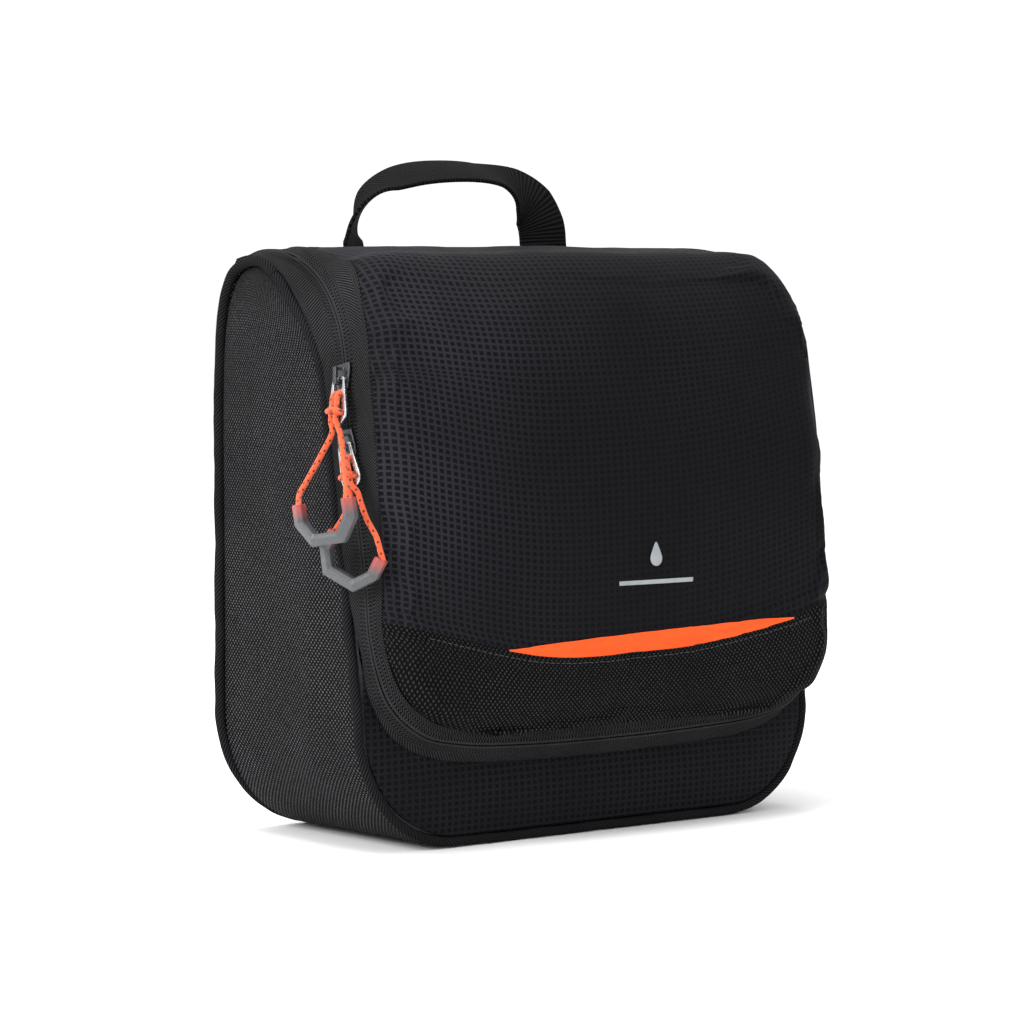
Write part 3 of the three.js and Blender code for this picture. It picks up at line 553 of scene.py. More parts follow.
def plastic(name, colour, roughness, depth=0.00002):
    n = Nodes(name)
    grain = n.noise(1800.0, 3.0)
    cloud = n.noise(120.0, 2.0)
    shade = n.mix(n.ramp(cloud, 0.3, 0.7), tuple(c * 0.86 for c in colour), colour)
    rough = n.ramp(grain, 0.3, 0.7, roughness - 0.06, roughness + 0.06)
    return n.finish(shade, rough, n.bump(grain, depth))


GUNMETAL = metal("gunmetal", (0.1, 0.105, 0.115), 0.36, 0.1)
NICKEL = metal("nickel", (0.72, 0.73, 0.74), 0.24, 0.08)
COIL = plastic("coil", (0.012, 0.012, 0.013), 0.45)
HOOK = plastic("hook_plastic", (0.02, 0.02, 0.022), 0.42)
MARK = plastic("mark_print", (0.27, 0.29, 0.31), 0.55)
BOARD = plastic("board", (0.03, 0.03, 0.03), 0.6)
FOAM = plastic("foam", (0.09, 0.1, 0.105), 0.9, 0.0002)
THREAD = plastic("thread", (0.022, 0.022, 0.024), 0.7, 0.00004)


def cord_material():
    """Braided orange cord: crossed strands, with pairs of dark flecks along it."""
    n = Nodes("cord")
    strand = n.times(n.wave(n.add(n.times(n.u, 1.3), n.v), 0.0011),
                     n.wave(n.math("SUBTRACT", n.times(n.u, 1.3), n.v), 0.0011))
    height = n.add(n.times(strand, 0.5), 0.5)
    step = n.math("FRACT", n.math("DIVIDE", n.v, 0.0046))
    fleck_a = n.ramp(n.math("ABSOLUTE", n.math("SUBTRACT", step, 0.3)), 0.08, 0.13, 1, 0)
    fleck_b = n.ramp(n.math("ABSOLUTE", n.math("SUBTRACT", step, 0.7)), 0.08, 0.13, 1, 0)
    side_a = n.ramp(n.wave(n.u, 0.0036), 0.55, 0.8)
    side_b = n.ramp(n.wave(n.u, 0.0036, 2.2), 0.55, 0.8)
    flecks = n.math("MAXIMUM", n.times(fleck_a, side_a), n.times(fleck_b, side_b))
    base = n.mix(height, (0.55, 0.035, 0.003), (0.88, 0.115, 0.008))
    colour = n.mix(flecks, base, (0.035, 0.012, 0.01))
    return n.finish(colour, 0.7, n.bump(height, 0.00018), Sheen_Weight=0.2)


CORD = cord_material()


def grip_material():
    """Smoky moulded plastic that turns clear and cord-red towards the ends of its arms."""
    n = Nodes("grip")
    grain = n.noise(1500.0, 2.0)
    tip = n.ramp(n.v, 0.001, 0.0075)
    body = n.mix(n.ramp(grain, 0.3, 0.7), (0.055, 0.058, 0.063), (0.08, 0.083, 0.088))
    colour = n.mix(tip, body, (0.3, 0.06, 0.055))
    rough = n.ramp(grain, 0.3, 0.7, 0.34, 0.46)
    return n.finish(colour, rough, n.bump(grain, 0.00002), Subsurface_Weight=0.15,
                    Subsurface_Scale=0.002)


GRIP = grip_material()

# ---------------------------------------------------------------- cord pulls

CORD_R = 1.15
PULLS = [
    {
        "name": "upper", "body": "upper_pull", "at": on_zip_arc(11.8), "axle": (-3.7, -0.4, -0.6),
        "out": 15, "turn": -14, "yaw": 2,
        "grip_at": (-139.3, -39.3, 134.8), "grip_turn": (25, -9),
        "left": [[-128.6, -29.6, 169.6], [-132.6, -27.2, 160], [-138, -25.7, 150.6],
                 [-142.6, -26.5, 144.9], [-144.2, -28.3, 142.5]],
        "right": [[-127.6, -33, 169.6], [-128.6, -36.1, 163.2], [-131.3, -41, 155.7],
                  [-134, -45.8, 149.2], [-135.4, -47.5, 146.1]],
    },
    {
        "name": "lower", "body": "lower_pull", "at": on_run(165), "axle": (-3.7, -0.4, -0.9),
        "out": 10, "turn": -26, "yaw": 6,
        "grip_at": (-129.5, -41, 118.3), "grip_turn": (32, 28),
        "left": [[-126.6, -38.2, 146.2], [-128.6, -40.2, 141.6], [-130.9, -39.8, 136.5],
                 [-132.1, -37, 132.1]],
        "right": [[-125.3, -41.4, 146.2], [-125, -43.4, 141.6], [-124.2, -46.4, 135.2],
                  [-123.4, -51, 129], [-122.3, -52.7, 122.4]],
    },
]
KNOT_DROP = 14.5


def turn_x(degrees):
    c, s = math.cos(math.radians(degrees)), math.sin(math.radians(degrees))
    return np.array([[1, 0, 0], [0, c, -s], [0, s, c]])


def turn_y(degrees):
    c, s = math.cos(math.radians(degrees)), math.sin(math.radians(degrees))
    return np.array([[c, 0, s], [0, 1, 0], [-s, 0, c]])


def turn_z(degrees):
    c, s = math.cos(math.radians(degrees)), math.sin(math.radians(degrees))
    return np.array([[c, -s, 0], [s, c, 0], [0, 0, 1]])


def tab_frame(pull):
    """The axle point and rotation of a pull tab."""
    axle = np.array(pull["at"]) + pull["axle"]
    return axle, turn_z(pull["yaw"]) @ turn_y(pull["out"]) @ turn_x(pull["turn"])


def cord_route(pull):
    """The cord from one arm of the grip, up through the tab's eye, and down to the other arm."""
    axle, turn = tab_frame(pull)
    over = np.array([
        [-2.2, -1.35, -18], [-2.1, -1.3, -14.5], [-2, -1.3, -10.5], [-1.8, -1.3, -7.6],
        [0, -1.2, -5.6], [1.6, 0, -5.9],
        [0, 1.2, -5.6], [-1.8, 1.3, -7.6], [-2, 1.3, -10.5], [-2.1, 1.3, -14.5],
        [-2.2, 1.35, -18]])
    over = over @ turn.T + axle
    order = [pull["left"], pull["right"]]
    if over[0][1] < over[-1][1]:
        order.reverse()
    first, second = (np.array(strand) for strand in order)
    first, second = (np.vstack([strand, strand[-1] + unit(strand[-1] - strand[-2]) * 3.2])
                     for strand in (first, second))
    return Curve(np.vstack([first[::-1], over, second])).even(110)


def add_cord(pull):
    route = cord_route(pull)
    name = pull["name"]
    cord = tube_mesh(f"{name}_cord", route, CORD_R, 12)
    cord.data.materials.append(CORD)
    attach(cord, pull["body"])
    axle, turn = tab_frame(pull)
    angle = np.linspace(0, 2 * np.pi * 1.04, 34)
    wrap = np.stack([-2.1 - 1.7 * np.cos(angle), 3.3 * np.sin(angle),
                     -KNOT_DROP + 0.9 * np.sin(angle) + 0.5 * angle / np.pi], axis=1)
    knot = tube_mesh(f"{name}_knot", wrap @ turn.T + axle, CORD_R, 12)
    knot.data.materials.append(CORD)
    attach(knot, pull["body"])
    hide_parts(f"{name}_cord_left", f"{name}_cord_right")
    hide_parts(f"{name}_cord_knot")
    grip = add_grip(pull)


def bevel(piece, width, segments, angle=30):
    """Rounds the edges of a piece, width in mm."""
    modifier = piece.modifiers.new("bevel", "BEVEL")
    modifier.width = width * MM
    modifier.segments = segments
    modifier.limit_method = "ANGLE"
    modifier.angle_limit = math.radians(angle)
    apply_modifiers(piece)


def apply_modifiers(piece):
    graph = bpy.context.evaluated_depsgraph_get()
    made = bpy.data.meshes.new_from_object(piece.evaluated_get(graph))
    piece.modifiers.clear()
    old = piece.data
    made.name = old.name
    piece.data = made
    bpy.data.meshes.remove(old)


def add_grip(pull):
    """A half-hexagon grip, with slanted facets either side of a ridge, on its arms' ends."""
    ring = np.array([[13.5, 8.2], [13.5, 0], [7.2, -9], [-7.2, -9], [-13.5, 0], [-13.5, 8.2]])
    ridge = np.array([[10.6, 8.6], [10.6, 0.8], [5.9, -5.9], [-5.9, -5.9], [-10.6, 0.8],
                      [-10.6, 8.6]])
    inside = np.array([[8.9, 8.2], [8.9, 1.3], [5, -4.1], [-5, -4.1], [-8.9, 1.3], [-8.9, 8.2]])
    section = [(ring, 2.7), (ring, -0.9), (ridge, -2.9), (inside, -1.9), (inside, 2.7)]
    turn = turn_z(pull["grip_turn"][0]) @ turn_x(pull["grip_turn"][1])
    vertices, uvs = [], []
    for outline, depth in section:
        for y, z in outline:
            vertices.append(turn @ np.array([depth, y, z]) + pull["grip_at"])
            uvs.append([y * MM, z * MM])
    faces = []
    count = len(ring)
    for k in range(len(section)):
        following = (k + 1) % len(section)
        for i in range(count - 1):
            faces.append([k * count + i, k * count + i + 1,
                          following * count + i + 1, following * count + i])
    faces.append([k * count for k in range(len(section))])
    faces.append([k * count + count - 1 for k in range(len(section))][::-1])
    piece = new_mesh(f"{pull['name']}_pull_grip", vertices, faces, uvs, smooth=False)
    weld(piece)
    bevel(piece, 0.45, 3, 20)
    piece.data.materials.append(GRIP)
    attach(piece, pull["body"])
    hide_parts(f"{pull['name']}_grip")
    return piece


for item in PULLS:
    add_cord(item)


def rounded_copy(node, name, material, body, width):
    """A CAD node's shape with its edges rounded over."""
    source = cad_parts[node]
    piece = bpy.data.objects.new(name, source.data.copy())
    bpy.context.scene.collection.objects.link(piece)
    piece.data.materials.clear()
    work = bmesh.new()
    work.from_mesh(piece.data)
    bmesh.ops.remove_doubles(work, verts=work.verts, dist=2e-6)
    bmesh.ops.dissolve_limit(work, angle_limit=math.radians(2), verts=work.verts,
                             edges=work.edges)
    work.to_mesh(piece.data)
    work.free()
    bevel(piece, width, 3)
    piece.data.polygons.foreach_set("use_smooth", [True] * len(piece.data.polygons))
    piece.data.materials.append(material)
    piece.data.set_sharp_from_angle(angle=math.radians(40))
    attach(piece, body)
    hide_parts(node)
    return piece


def box_uv(piece):
    """UVs in metres, across a piece by x and up and back along it by z and y."""
    mesh = piece.data
    co = np.zeros(len(mesh.vertices) * 3, np.float32)
    mesh.vertices.foreach_get("co", co)
    co = co.reshape(-1, 3)
    layer = mesh.uv_layers.get("UVMap") or mesh.uv_layers.new(name="UVMap")
    corner = np.zeros(len(mesh.loops), np.int32)
    mesh.loops.foreach_get("vertex_index", corner)
    layer.data.foreach_set("uv", (co[:, [0, 2]] + co[:, 1:2] * [[0, 1]])[corner].ravel())


for item in PULLS:
    rounded_copy(f"{item['name']}_slider", f"{item['name']}_slider_body", GUNMETAL,
                 f"{item['name']}_slider", 0.35)
    rounded_copy(f"{item['name']}_pull_tab", f"{item['name']}_tab", NICKEL,
                 item["body"], 0.4)
rounded_copy("hook", "hanging_hook_body", HOOK, "hanging_hook", 0.9)
box_uv(rounded_copy("hook_loop", "hook_strap", WEBBING, "flap_front", 0.25))

# ---------------------------------------------------------------- body shell

SIDE_X, BACK_Y = 119.2, 62
PIPING_X, PIPING_Z, PIPING_R = 120, 2.3, 2
CORNER_LEFT, CORNER_RIGHT = 50, 42
FOOT = 54
INSET = PIPING_R + 0.4


def lower_outline(inset, y, top, low=None):
    """The lower outline of the body seen from the front, from the left side to the right."""
    low = PIPING_Z + inset if low is None else low
    points = [[-PIPING_X + inset, y, top]]
    corners = ((-PIPING_X + CORNER_LEFT, CORNER_LEFT - inset, 180, 270),
               (PIPING_X - CORNER_RIGHT, CORNER_RIGHT - inset, 270, 360))
    for k, (centre, radius, start, end) in enumerate(corners):
        for angle in np.radians(np.linspace(start, end, 12)):
            points.append([centre + radius * math.cos(angle), y,
                           low + radius + radius * math.sin(angle)])
        if k == 0:
            points += [[x, y, low] for x in (-61, -46, 0, 54, 69)]
    points.append([PIPING_X - inset, y, top])
    return points


GUSSET_BACK, GUSSET_FRONT = 59.2, -33.2
SIDE_BACK = [[36.4, 234.2], [45.2, 231], [53.2, 220.8], [57.3, 206.4], [59.2, 182],
             [59.2, 120], [GUSSET_BACK, FOOT]]
SIDE_FRONT = [
    [28.4, 234], [21.1, 228.6], [12.9, 221.5],
    *(on_arc(ARC_R - TAPE_BODY - 1.5 * INSET, a, 0)[1:] for a in (40, 22, 8)),
    [-15.9, 157], [-19.9, 132], [-24.9, 107], [-28.5, 84], [-31.9, 66], [GUSSET_FRONT, FOOT],
]


def gusset_edge(side, y, count_side, count_bottom, inward=0.0):
    """The edge of the gusset down the left side, under the bag and up the right side."""
    x = SIDE_X - inward
    left = Curve([[-x, py, pz] for py, pz in side]).even(count_side)
    rise = PIPING_X - SIDE_X + inward
    bottom = np.array(lower_outline(rise, y, FOOT, low=inward))[1:-1]
    bottom = resample(np.vstack([[-x, y, FOOT], bottom, [x, y, FOOT]]), count_bottom)
    right = left[::-1] * [-1, 1, 1]
    return np.vstack([left, bottom[1:-1], right])


def gusset_grid(across, inward=0.0, count_side=90, count_bottom=150):
    """The gusset from its back edge to its front edge, inward mm inside its outer face."""
    back = gusset_edge(SIDE_BACK, GUSSET_BACK, count_side, count_bottom, inward)
    front = gusset_edge(SIDE_FRONT, GUSSET_FRONT, count_side, count_bottom, inward)
    v = np.linspace(0, 1, across)[:, None, None]
    return back[None] * (1 - v) + front[None] * v


def add_gusset():
    grid = gusset_grid(70)
    normals = grid_normals(grid)
    height = grid[..., 2]
    middle = np.sin(np.linspace(0, np.pi, grid.shape[0]))[:, None] ** 0.5
    swell = 0.9 * middle * smoothstep(height, 30, 90)
    ridge_at = -4 - 0.05 * (height - 100)
    ridge = np.exp(-((grid[..., 1] - ridge_at) / 9) ** 2) * smoothstep(height, 8, 50)
    ridge *= 1 - smoothstep(height, 120, 170)
    soft = ripple(grid * [1, 1, 0.55], 46, 3) * 0.8 + ripple(grid, 19, 4) * 0.16
    lift = (swell + 0.9 * ridge + soft * middle) * smoothstep(height, 1.5, 26)
    sunk = 0.5 * (1 - np.minimum(1, middle * 2.2))
    grid = grid + normals * (lift - sunk)[..., None]
    piece = cloth("gusset", grid, HEAVY, "bag", 1.6)
    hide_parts("side_gusset_left", "side_gusset_right", "bottom_gusset")


def panel_width(z, low, side, left, right):
    """Left and right limits of the back panel at a height, from its two corner radii."""
    def limit(radius):
        drop = np.clip((low + radius - z) / radius, 0, 1)
        return radius * (1 - np.sqrt(1 - drop * drop))
    shoulder = 14 * (1 - np.sqrt(1 - np.clip((z - 203.5) / 36, 0, 0.9) ** 2))
    return -side + limit(left) + shoulder, side - limit(right) - shoulder


def back_grid(rows, columns, extra, y, top):
    """The back panel's outline filled with points, extra mm inside it, at one y."""
    low, side = PIPING_Z + INSET + extra, PIPING_X - INSET - extra
    s = np.linspace(0, 1, rows)
    z = low + 0.02 + (top - low) * (1 - np.cos(s * np.pi * 0.5))
    left, right = panel_width(z, low, side, CORNER_LEFT - INSET - extra,
                              CORNER_RIGHT - INSET - extra)
    u = np.linspace(0, 1, columns)[None]
    x = left[:, None] * (1 - u) + right[:, None] * u
    return np.stack([x, np.full_like(x, y), np.broadcast_to(z[:, None], x.shape)], axis=-1)


def plain_uv(grid):
    """UVs in mm straight from x and z."""
    return np.stack([grid[..., 0], grid[..., 2]], axis=-1)


def add_back():
    grid = back_grid(90, 100, 0, BACK_Y, 236)
    soft = ripple(grid, 60, 8) * 0.5 + ripple(grid, 22, 9) * 0.15
    grid[..., 1] += np.minimum(soft, 0.35) - 0.35
    piece = cloth("back_cover", grid[::-1], HEAVY, "bag", 1.4, plain_uv(grid[::-1]))
    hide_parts("back_panel")


def towards(start, end, distance):
    """A line at a distance from one line towards another."""
    def line(t):
        a = start(t)
        return a + unit(end(t) - a) * distance
    return line


def add_lower_front():
    outline = Curve([[-PIPING_X + INSET, -33.2, 78]] + lower_outline(INSET, -36, 60)[1:-1]
                    + [[PIPING_X - INSET, -33.2, 74]])
    low = outline.even(220)
    t = np.linspace(11.25, 2 * LAST - 11.2, 220) / (2 * LAST)
    high = towards(body_seam, zip_line, -0.2)(t)
    v = np.linspace(0, 1, 40)[:, None, None]
    grid = low[None] * (1 - v) + high[None] * v
    normals = grid_normals(grid)
    puff = np.sin(np.linspace(0, np.pi, 40))[:, None] ** 0.6
    ends = np.sin(np.linspace(0, np.pi, 220))[None] ** 0.4
    soft = ripple(grid * [0.6, 1, 1], 30, 12) * 0.55 + ripple(grid, 12, 13) * 0.16
    grid = grid + normals * ((1.5 + soft) * puff * ends - 0.4)[..., None]
    # Painted shade: the lower front takes the darker copy of the ripstop.
    piece = cloth("lower_front", grid, RIPSTOP_SHADED, "bag", 1.4, plain_uv(grid))
    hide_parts("lower_front_panel")


TONGUE = [[20.5, 230.8], [29, 235.4], [38, 236.4], [47.6, 232.8], [55.3, 222.6], [59, 207],
          [60.5, 185], [60.5, 120]]
WELT = [
    [28, 234.6], [20.5, 230.6], [15.6, 227.4], [11, 222.4],
    *(on_arc(ARC_R - TAPE_BODY - INSET, a, 0)[1:] for a in (40, 22, 8)),
    [-17.1, 157], [-21.1, 132], [-26.1, 107], [-29.7, 84],
]


def piping(name, side, y, top, radius, nodes):
    path = ([[-PIPING_X, py, pz] for py, pz in side] + lower_outline(0, y, top)[1:-1]
            + [[PIPING_X, py, pz] for py, pz in side[::-1]])
    route = Curve(path).even(700)
    route = route + np.stack([ripple(route, 26, 31 + k) for k in range(3)], axis=1) * 0.25
    swell = radius * (1 + 0.05 * ripple(route, 9, 35))
    piece = tube_mesh(name, route, swell, 16)
    piece.data.materials.append(PIPING)
    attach(piece, "bag")
    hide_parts(*nodes)


def add_piping():
    piping("back_edge_piping", TONGUE, 60.5, 75, 2.15, ["back_piping"])
    piping("front_edge_piping", WELT, -34.5, 64, 2.0, ["front_piping"])


# ---------------------------------------------------------------- zip

FLAT = 5.6                        # flat part of the tape beside the slit
SLIT = 0.55                       # half of the gap between the tape's halves
COIL_PITCH = 1.5


def flat_direction(side):
    """Directions from the slit towards a seam, kept in the tape's own plane down the sides."""
    def direction(t):
        d = side(t) - zip_line(t)
        index = np.minimum(t, 1 - t) * 2 * LAST
        weight = smoothstep(index, 1.2, 2.6) * (1 - smoothstep(index, 10.5, 12))
        lean = ARC_LEAN * (1 - smoothstep(index, 7, 8))
        normal = unit(np.stack([np.where(t < 0.5, -1.0, 1.0), np.zeros_like(t), np.tan(lean)],
                               axis=-1))
        return unit(d - normal * ((d * normal).sum(-1) * weight)[..., None])
    return direction


TAPE_POINTS = 14                  # across each half of the tape


def tape_grid(seam, edge, t):
    """Half of the zip tape from the seam to the slit, and its distances from the slit in mm."""
    direction = flat_direction(seam)(t)
    slit = zip_line(t)
    flat = np.minimum(FLAT, np.linalg.norm(seam(t) - slit, axis=-1) * 0.55)[:, None]
    hem = edge(t)
    knee, lip = slit + direction * flat, slit + direction * SLIT
    v = np.linspace(0, 1, TAPE_POINTS)[:, None, None]
    curve = hem * (1 - v) ** 2 + 2 * knee * v * (1 - v) + lip * v ** 2
    straight = np.where(v < 0.5, hem + (knee - hem) * 2 * v, knee + (lip - knee) * (2 * v - 1))
    grid = curve * 0.35 + straight * 0.65
    distance = np.linalg.norm(grid - slit[None], axis=-1)
    return grid, distance


def add_tape_half(name, seam, edge, t, body, nodes, sign):
    grid, distance = tape_grid(seam, edge, t)
    run = lengths(zip_line(t))
    uv = np.stack([distance * sign, np.broadcast_to(run[None], distance.shape)], axis=-1)
    normals = grid_normals(grid) * sign
    lip = np.exp(-((distance - SLIT) / 1.1) ** 2) * 0.5
    soft = ripple(grid, 17, 41) * 0.22 * smoothstep(distance, 2, 8)
    grid = grid + normals * (lip + soft + 0.45)[..., None]
    piece = cloth(name, grid, ZIP_TAPE, body, 0.8, uv, flip=sign < 0)
    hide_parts(*nodes)
    if body is None:
        bend_with_flap(piece)
    return piece


def bend_with_flap(piece):
    """Bakes the piece's transform into its mesh; it is not attached to any body."""
    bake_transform(piece)


def add_zip():
    t = np.linspace(0.005, 0.995, 900)
    add_tape_half("body_tape", body_seam, towards(body_seam, zip_line, -0.6), t, "bag",
                  ["body_zip_tape"], 1)
    add_tape_half("flap_tape", flap_seam, towards(flap_seam, zip_line, 0.4), t, None,
                  ["flap_zip_tape", "flap_top_zip_tape_left", "flap_top_zip_tape_right"], -1)
    add_coil("body_coil", body_seam, 1, "bag", ["body_zip_coil"])
    add_coil("flap_coil", flap_seam, -1, None, ["flap_zip_coil"])


def add_coil(name, seam, sign, body, nodes):
    """One half of the nylon coil: flat loops that reach across the slit, behind the tape."""
    t = np.linspace(0.006, 0.994, 6200)
    middle = zip_line(t)
    direction = flat_direction(seam)(t)
    along = unit(np.gradient(middle, axis=0))
    behind = np.cross(direction, along) * sign
    run = lengths(middle)
    angle = run / COIL_PITCH * 2 * np.pi + (0 if sign > 0 else np.pi)
    route = (middle + direction * (0.75 + 1.35 * np.cos(angle))[:, None]
             - behind * (0.95 - 0.55 * np.sin(angle))[:, None])
    piece = tube_mesh(name, route, 0.3, 5)
    piece.data.materials.append(COIL)
    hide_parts(*nodes)
    if body:
        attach(piece, body)
    else:
        bend_with_flap(piece)


add_gusset()
add_back()
add_lower_front()
add_piping()
add_zip()

# ---------------------------------------------------------------- flap

FLAP_ROLL, FLAP_CROWN = 16, 14    # width of the rounded edge, and height of the padded middle
FLAP_HALF, FLAP_RUN = 118, 340    # half of its width, and its length from the hinge
flap_left = Curve(FLAP_SEAM_LEFT[:15])
flap_right = Curve(FLAP_SEAM_RIGHT[:15])


def flap_normal(row):
    above = np.maximum(row - 0.004, 0)
    below = np.minimum(row + 0.004, 1)
    run = (flap_left.at(below) + flap_right.at(below)
           - flap_left.at(above) - flap_right.at(above)) / 2
    return unit(np.stack([np.zeros_like(row), run[..., 2], -run[..., 1]], axis=-1))


def rolled(distance, width):
    inside = 1 - np.clip(distance / width, 0, 1)
    return np.sqrt(1 - inside * inside)


def flap_point(row, across, depth=0.0):
    """A point of the flap: row from the hinge (0) to the free edge (1), across from -1 to 1."""
    row, across = np.broadcast_arrays(np.asarray(row, float), np.asarray(across, float))
    left, right = flap_left.at(row), flap_right.at(row)
    share = ((across + 1) / 2)[..., None]
    from_side = (1 - np.abs(across)) * (right[..., 0] - left[..., 0]) / 2
    from_bottom = np.where(row > 0.7, (left[..., 2] + right[..., 2]) / 2 - 46.5, FLAP_ROLL)
    height = 2.2 + (FLAP_CROWN - 2.2) * smoothstep(row, 0.05, 0.62)
    crown = (height * (0.82 + 0.18 * (1 - across ** 2)) * rolled(from_side, FLAP_ROLL)
             * rolled(from_bottom, FLAP_ROLL))
    return (left * (1 - share) + right * share
            + flap_normal(row) * (crown - depth)[..., None])


def smile(x):
    """Height of the seam between the upper and lower flap panels."""
    return 77.6 + 0.00118 * x * x + 0.012 * x - 2.2 * np.exp(-((x + 48) / 34) ** 2)


ROW_TABLE = np.linspace(0.5, 1, 400)
ROW_HEIGHTS = (flap_left.at(ROW_TABLE)[:, 2] + flap_right.at(ROW_TABLE)[:, 2]) / 2


def row_at_height(z):
    return np.interp(-np.asarray(z, float), -ROW_HEIGHTS, ROW_TABLE)


class Cushion:
    """How far the padded flap stands from its plain shape, over its rows and across it."""

    ROWS, COLUMNS = 96, 100
    FRAMES = 20
    MOST = 2.2                    # furthest that the cloth may go from the plain shape

    def __init__(self):
        self.rows = np.linspace(0.006, 1, self.ROWS) ** 0.92
        self.across = np.sin(np.linspace(-1, 1, self.COLUMNS) * np.pi / 2)
        self.grid = flap_point(self.rows[:, None], self.across[None])
        self.moved = np.zeros_like(self.grid)
        self.moved = self.simulate()

    def pins(self):
        seam = np.abs(self.grid[..., 2] - smile(self.grid[..., 0])) < 1.3
        seam &= self.rows[:, None] > 0.55
        edge = np.zeros(seam.shape, bool)
        edge[:2] = edge[-2:] = True
        edge[:, :2] = edge[:, -2:] = True
        return seam | edge

    def simulate(self):
        """Inflates slightly loose cloth that is held at the zip seam and the panel seam."""
        piece = new_mesh("flap_cloth", self.grid.reshape(-1, 3),
                         grid_faces(self.ROWS, self.COLUMNS))
        group = piece.vertex_groups.new(name="pins")
        group.add(np.flatnonzero(self.pins().ravel()).tolist(), 1.0, "REPLACE")
        cloth_modifier = piece.modifiers.new("cloth", "CLOTH")
        settings = cloth_modifier.settings
        settings.quality = 6
        settings.mass = 0.3
        settings.tension_stiffness = settings.compression_stiffness = 12
        settings.shear_stiffness = 4
        settings.bending_stiffness = 0.6
        settings.shrink_min = -0.005
        settings.use_pressure = True
        settings.uniform_pressure_force = 4
        settings.vertex_group_mass = "pins"
        settings.effector_weights.gravity = 0
        cloth_modifier.collision_settings.use_collision = False
        cloth_modifier.point_cache.frame_start = 1
        cloth_modifier.point_cache.frame_end = self.FRAMES
        scene = bpy.context.scene
        for frame_number in range(1, self.FRAMES + 1):
            scene.frame_set(frame_number)
        graph = bpy.context.evaluated_depsgraph_get()
        made = piece.evaluated_get(graph).to_mesh()
        after = np.zeros(len(made.vertices) * 3)
        made.vertices.foreach_get("co", after)
        scene.frame_set(1)
        bpy.data.objects.remove(piece)
        moved = after.reshape(self.grid.shape) / MM - self.grid
        size = np.linalg.norm(moved, axis=-1, keepdims=True)
        return moved * np.minimum(1, self.MOST / np.maximum(size, 1e-6))

    def at(self, row, across):
        """The cloth's displacement at any place, by bilinear interpolation."""
        i = np.interp(row, self.rows, np.arange(self.ROWS))
        j = np.interp(across, self.across, np.arange(self.COLUMNS))
        i0 = np.minimum(i.astype(int), self.ROWS - 2)
        j0 = np.minimum(j.astype(int), self.COLUMNS - 2)
        a, b = (i - i0)[..., None], (j - j0)[..., None]
        a, b = a * a * (3 - 2 * a), b * b * (3 - 2 * b)
        m = self.moved
        return ((m[i0, j0] * (1 - b) + m[i0, j0 + 1] * b) * (1 - a)
                + (m[i0 + 1, j0] * (1 - b) + m[i0 + 1, j0 + 1] * b) * a)


cushion = Cushion()


def flap_surface(row, across, lift=0.0):
    """The flap's finished outer surface: the cloth, with puckers at seams and soft folds."""
    row, across = np.broadcast_arrays(np.asarray(row, float), np.asarray(across, float))
    base = flap_point(row, across)
    point = base + cushion.at(row, across)
    left, right = flap_left.at(row), flap_right.at(row)
    from_side = (1 - np.abs(across)) * (right[..., 0] - left[..., 0]) / 2
    from_bottom = (left[..., 2] + right[..., 2]) / 2 - 46.5
    run = row * FLAP_RUN
    pucker = np.sin(run / 27 * 2 * np.pi + 0.7 * ripple(base, 40, 51)) * np.exp(-from_side / 11)
    pucker *= smoothstep(from_side, 0.6, 5) * smoothstep(row, 0.3, 0.42)
    seam_gap = base[..., 2] - smile(base[..., 0])
    on_front = smoothstep(row, 0.5, 0.6)
    groove = -1.3 * np.exp(-(seam_gap / 2.2) ** 2) * on_front
    swell_low = 1.2 * np.exp(-((seam_gap + 12) / 9) ** 2) * on_front * (1 - across ** 4)
    diagonal = base @ unit(np.array([0.8, 0.0, -0.6]))
    folds = np.sin(diagonal / 21 + 1.1 * ripple(base, 50, 52)) * smoothstep(-seam_gap, 3, 12)
    folds *= on_front * smoothstep(from_bottom, 2, 12) * smoothstep(from_side, 4, 20) * 0.7
    soft = ripple(base, 70, 53) * 0.75 + ripple(base, 28, 54) * 0.22 + ripple(base, 11, 55) * 0.05
    soft *= smoothstep(from_side, 1, 14) * smoothstep(row, 0.03, 0.15)
    sunk = -0.5 * np.exp(-from_side / 2.0)
    amount = pucker + groove + swell_low + folds + soft + sunk + lift
    return point + flap_normal(row) * amount[..., None]


ACROSS = np.sin(np.linspace(-1, 1, 260) * np.pi / 2)


def rows_between(top, bottom, count, power=1.0):
    """Rows across the whole flap between two limits, each a number or one value per column."""
    s = (1 - (1 - np.linspace(0, 1, count)) ** power)[:, None]
    return top * (1 - s) + bottom * s


def add_flap():
    seam_row = row_at_height(smile(ACROSS * FLAP_HALF))[None]
    upper = flap_surface(rows_between(0.004, seam_row + 0.0006, 300), ACROSS[None])
    piece = cloth("flap_upper", upper, RIPSTOP, None, 1.2, flip=True)
    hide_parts("flap_top_panel", "flap_upper_panel")
    bend_with_flap(piece)
    lower = flap_surface(rows_between(seam_row - 0.0006, 1, 90, 1.7), ACROSS[None], 0.25)
    # Painted shade: the lower panel takes the darker copy of the heavy weave.
    piece = cloth("flap_lower", lower, HEAVY_SHADED, "flap_front", 1.2, flip=True)
    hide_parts("flap_lower_panel")


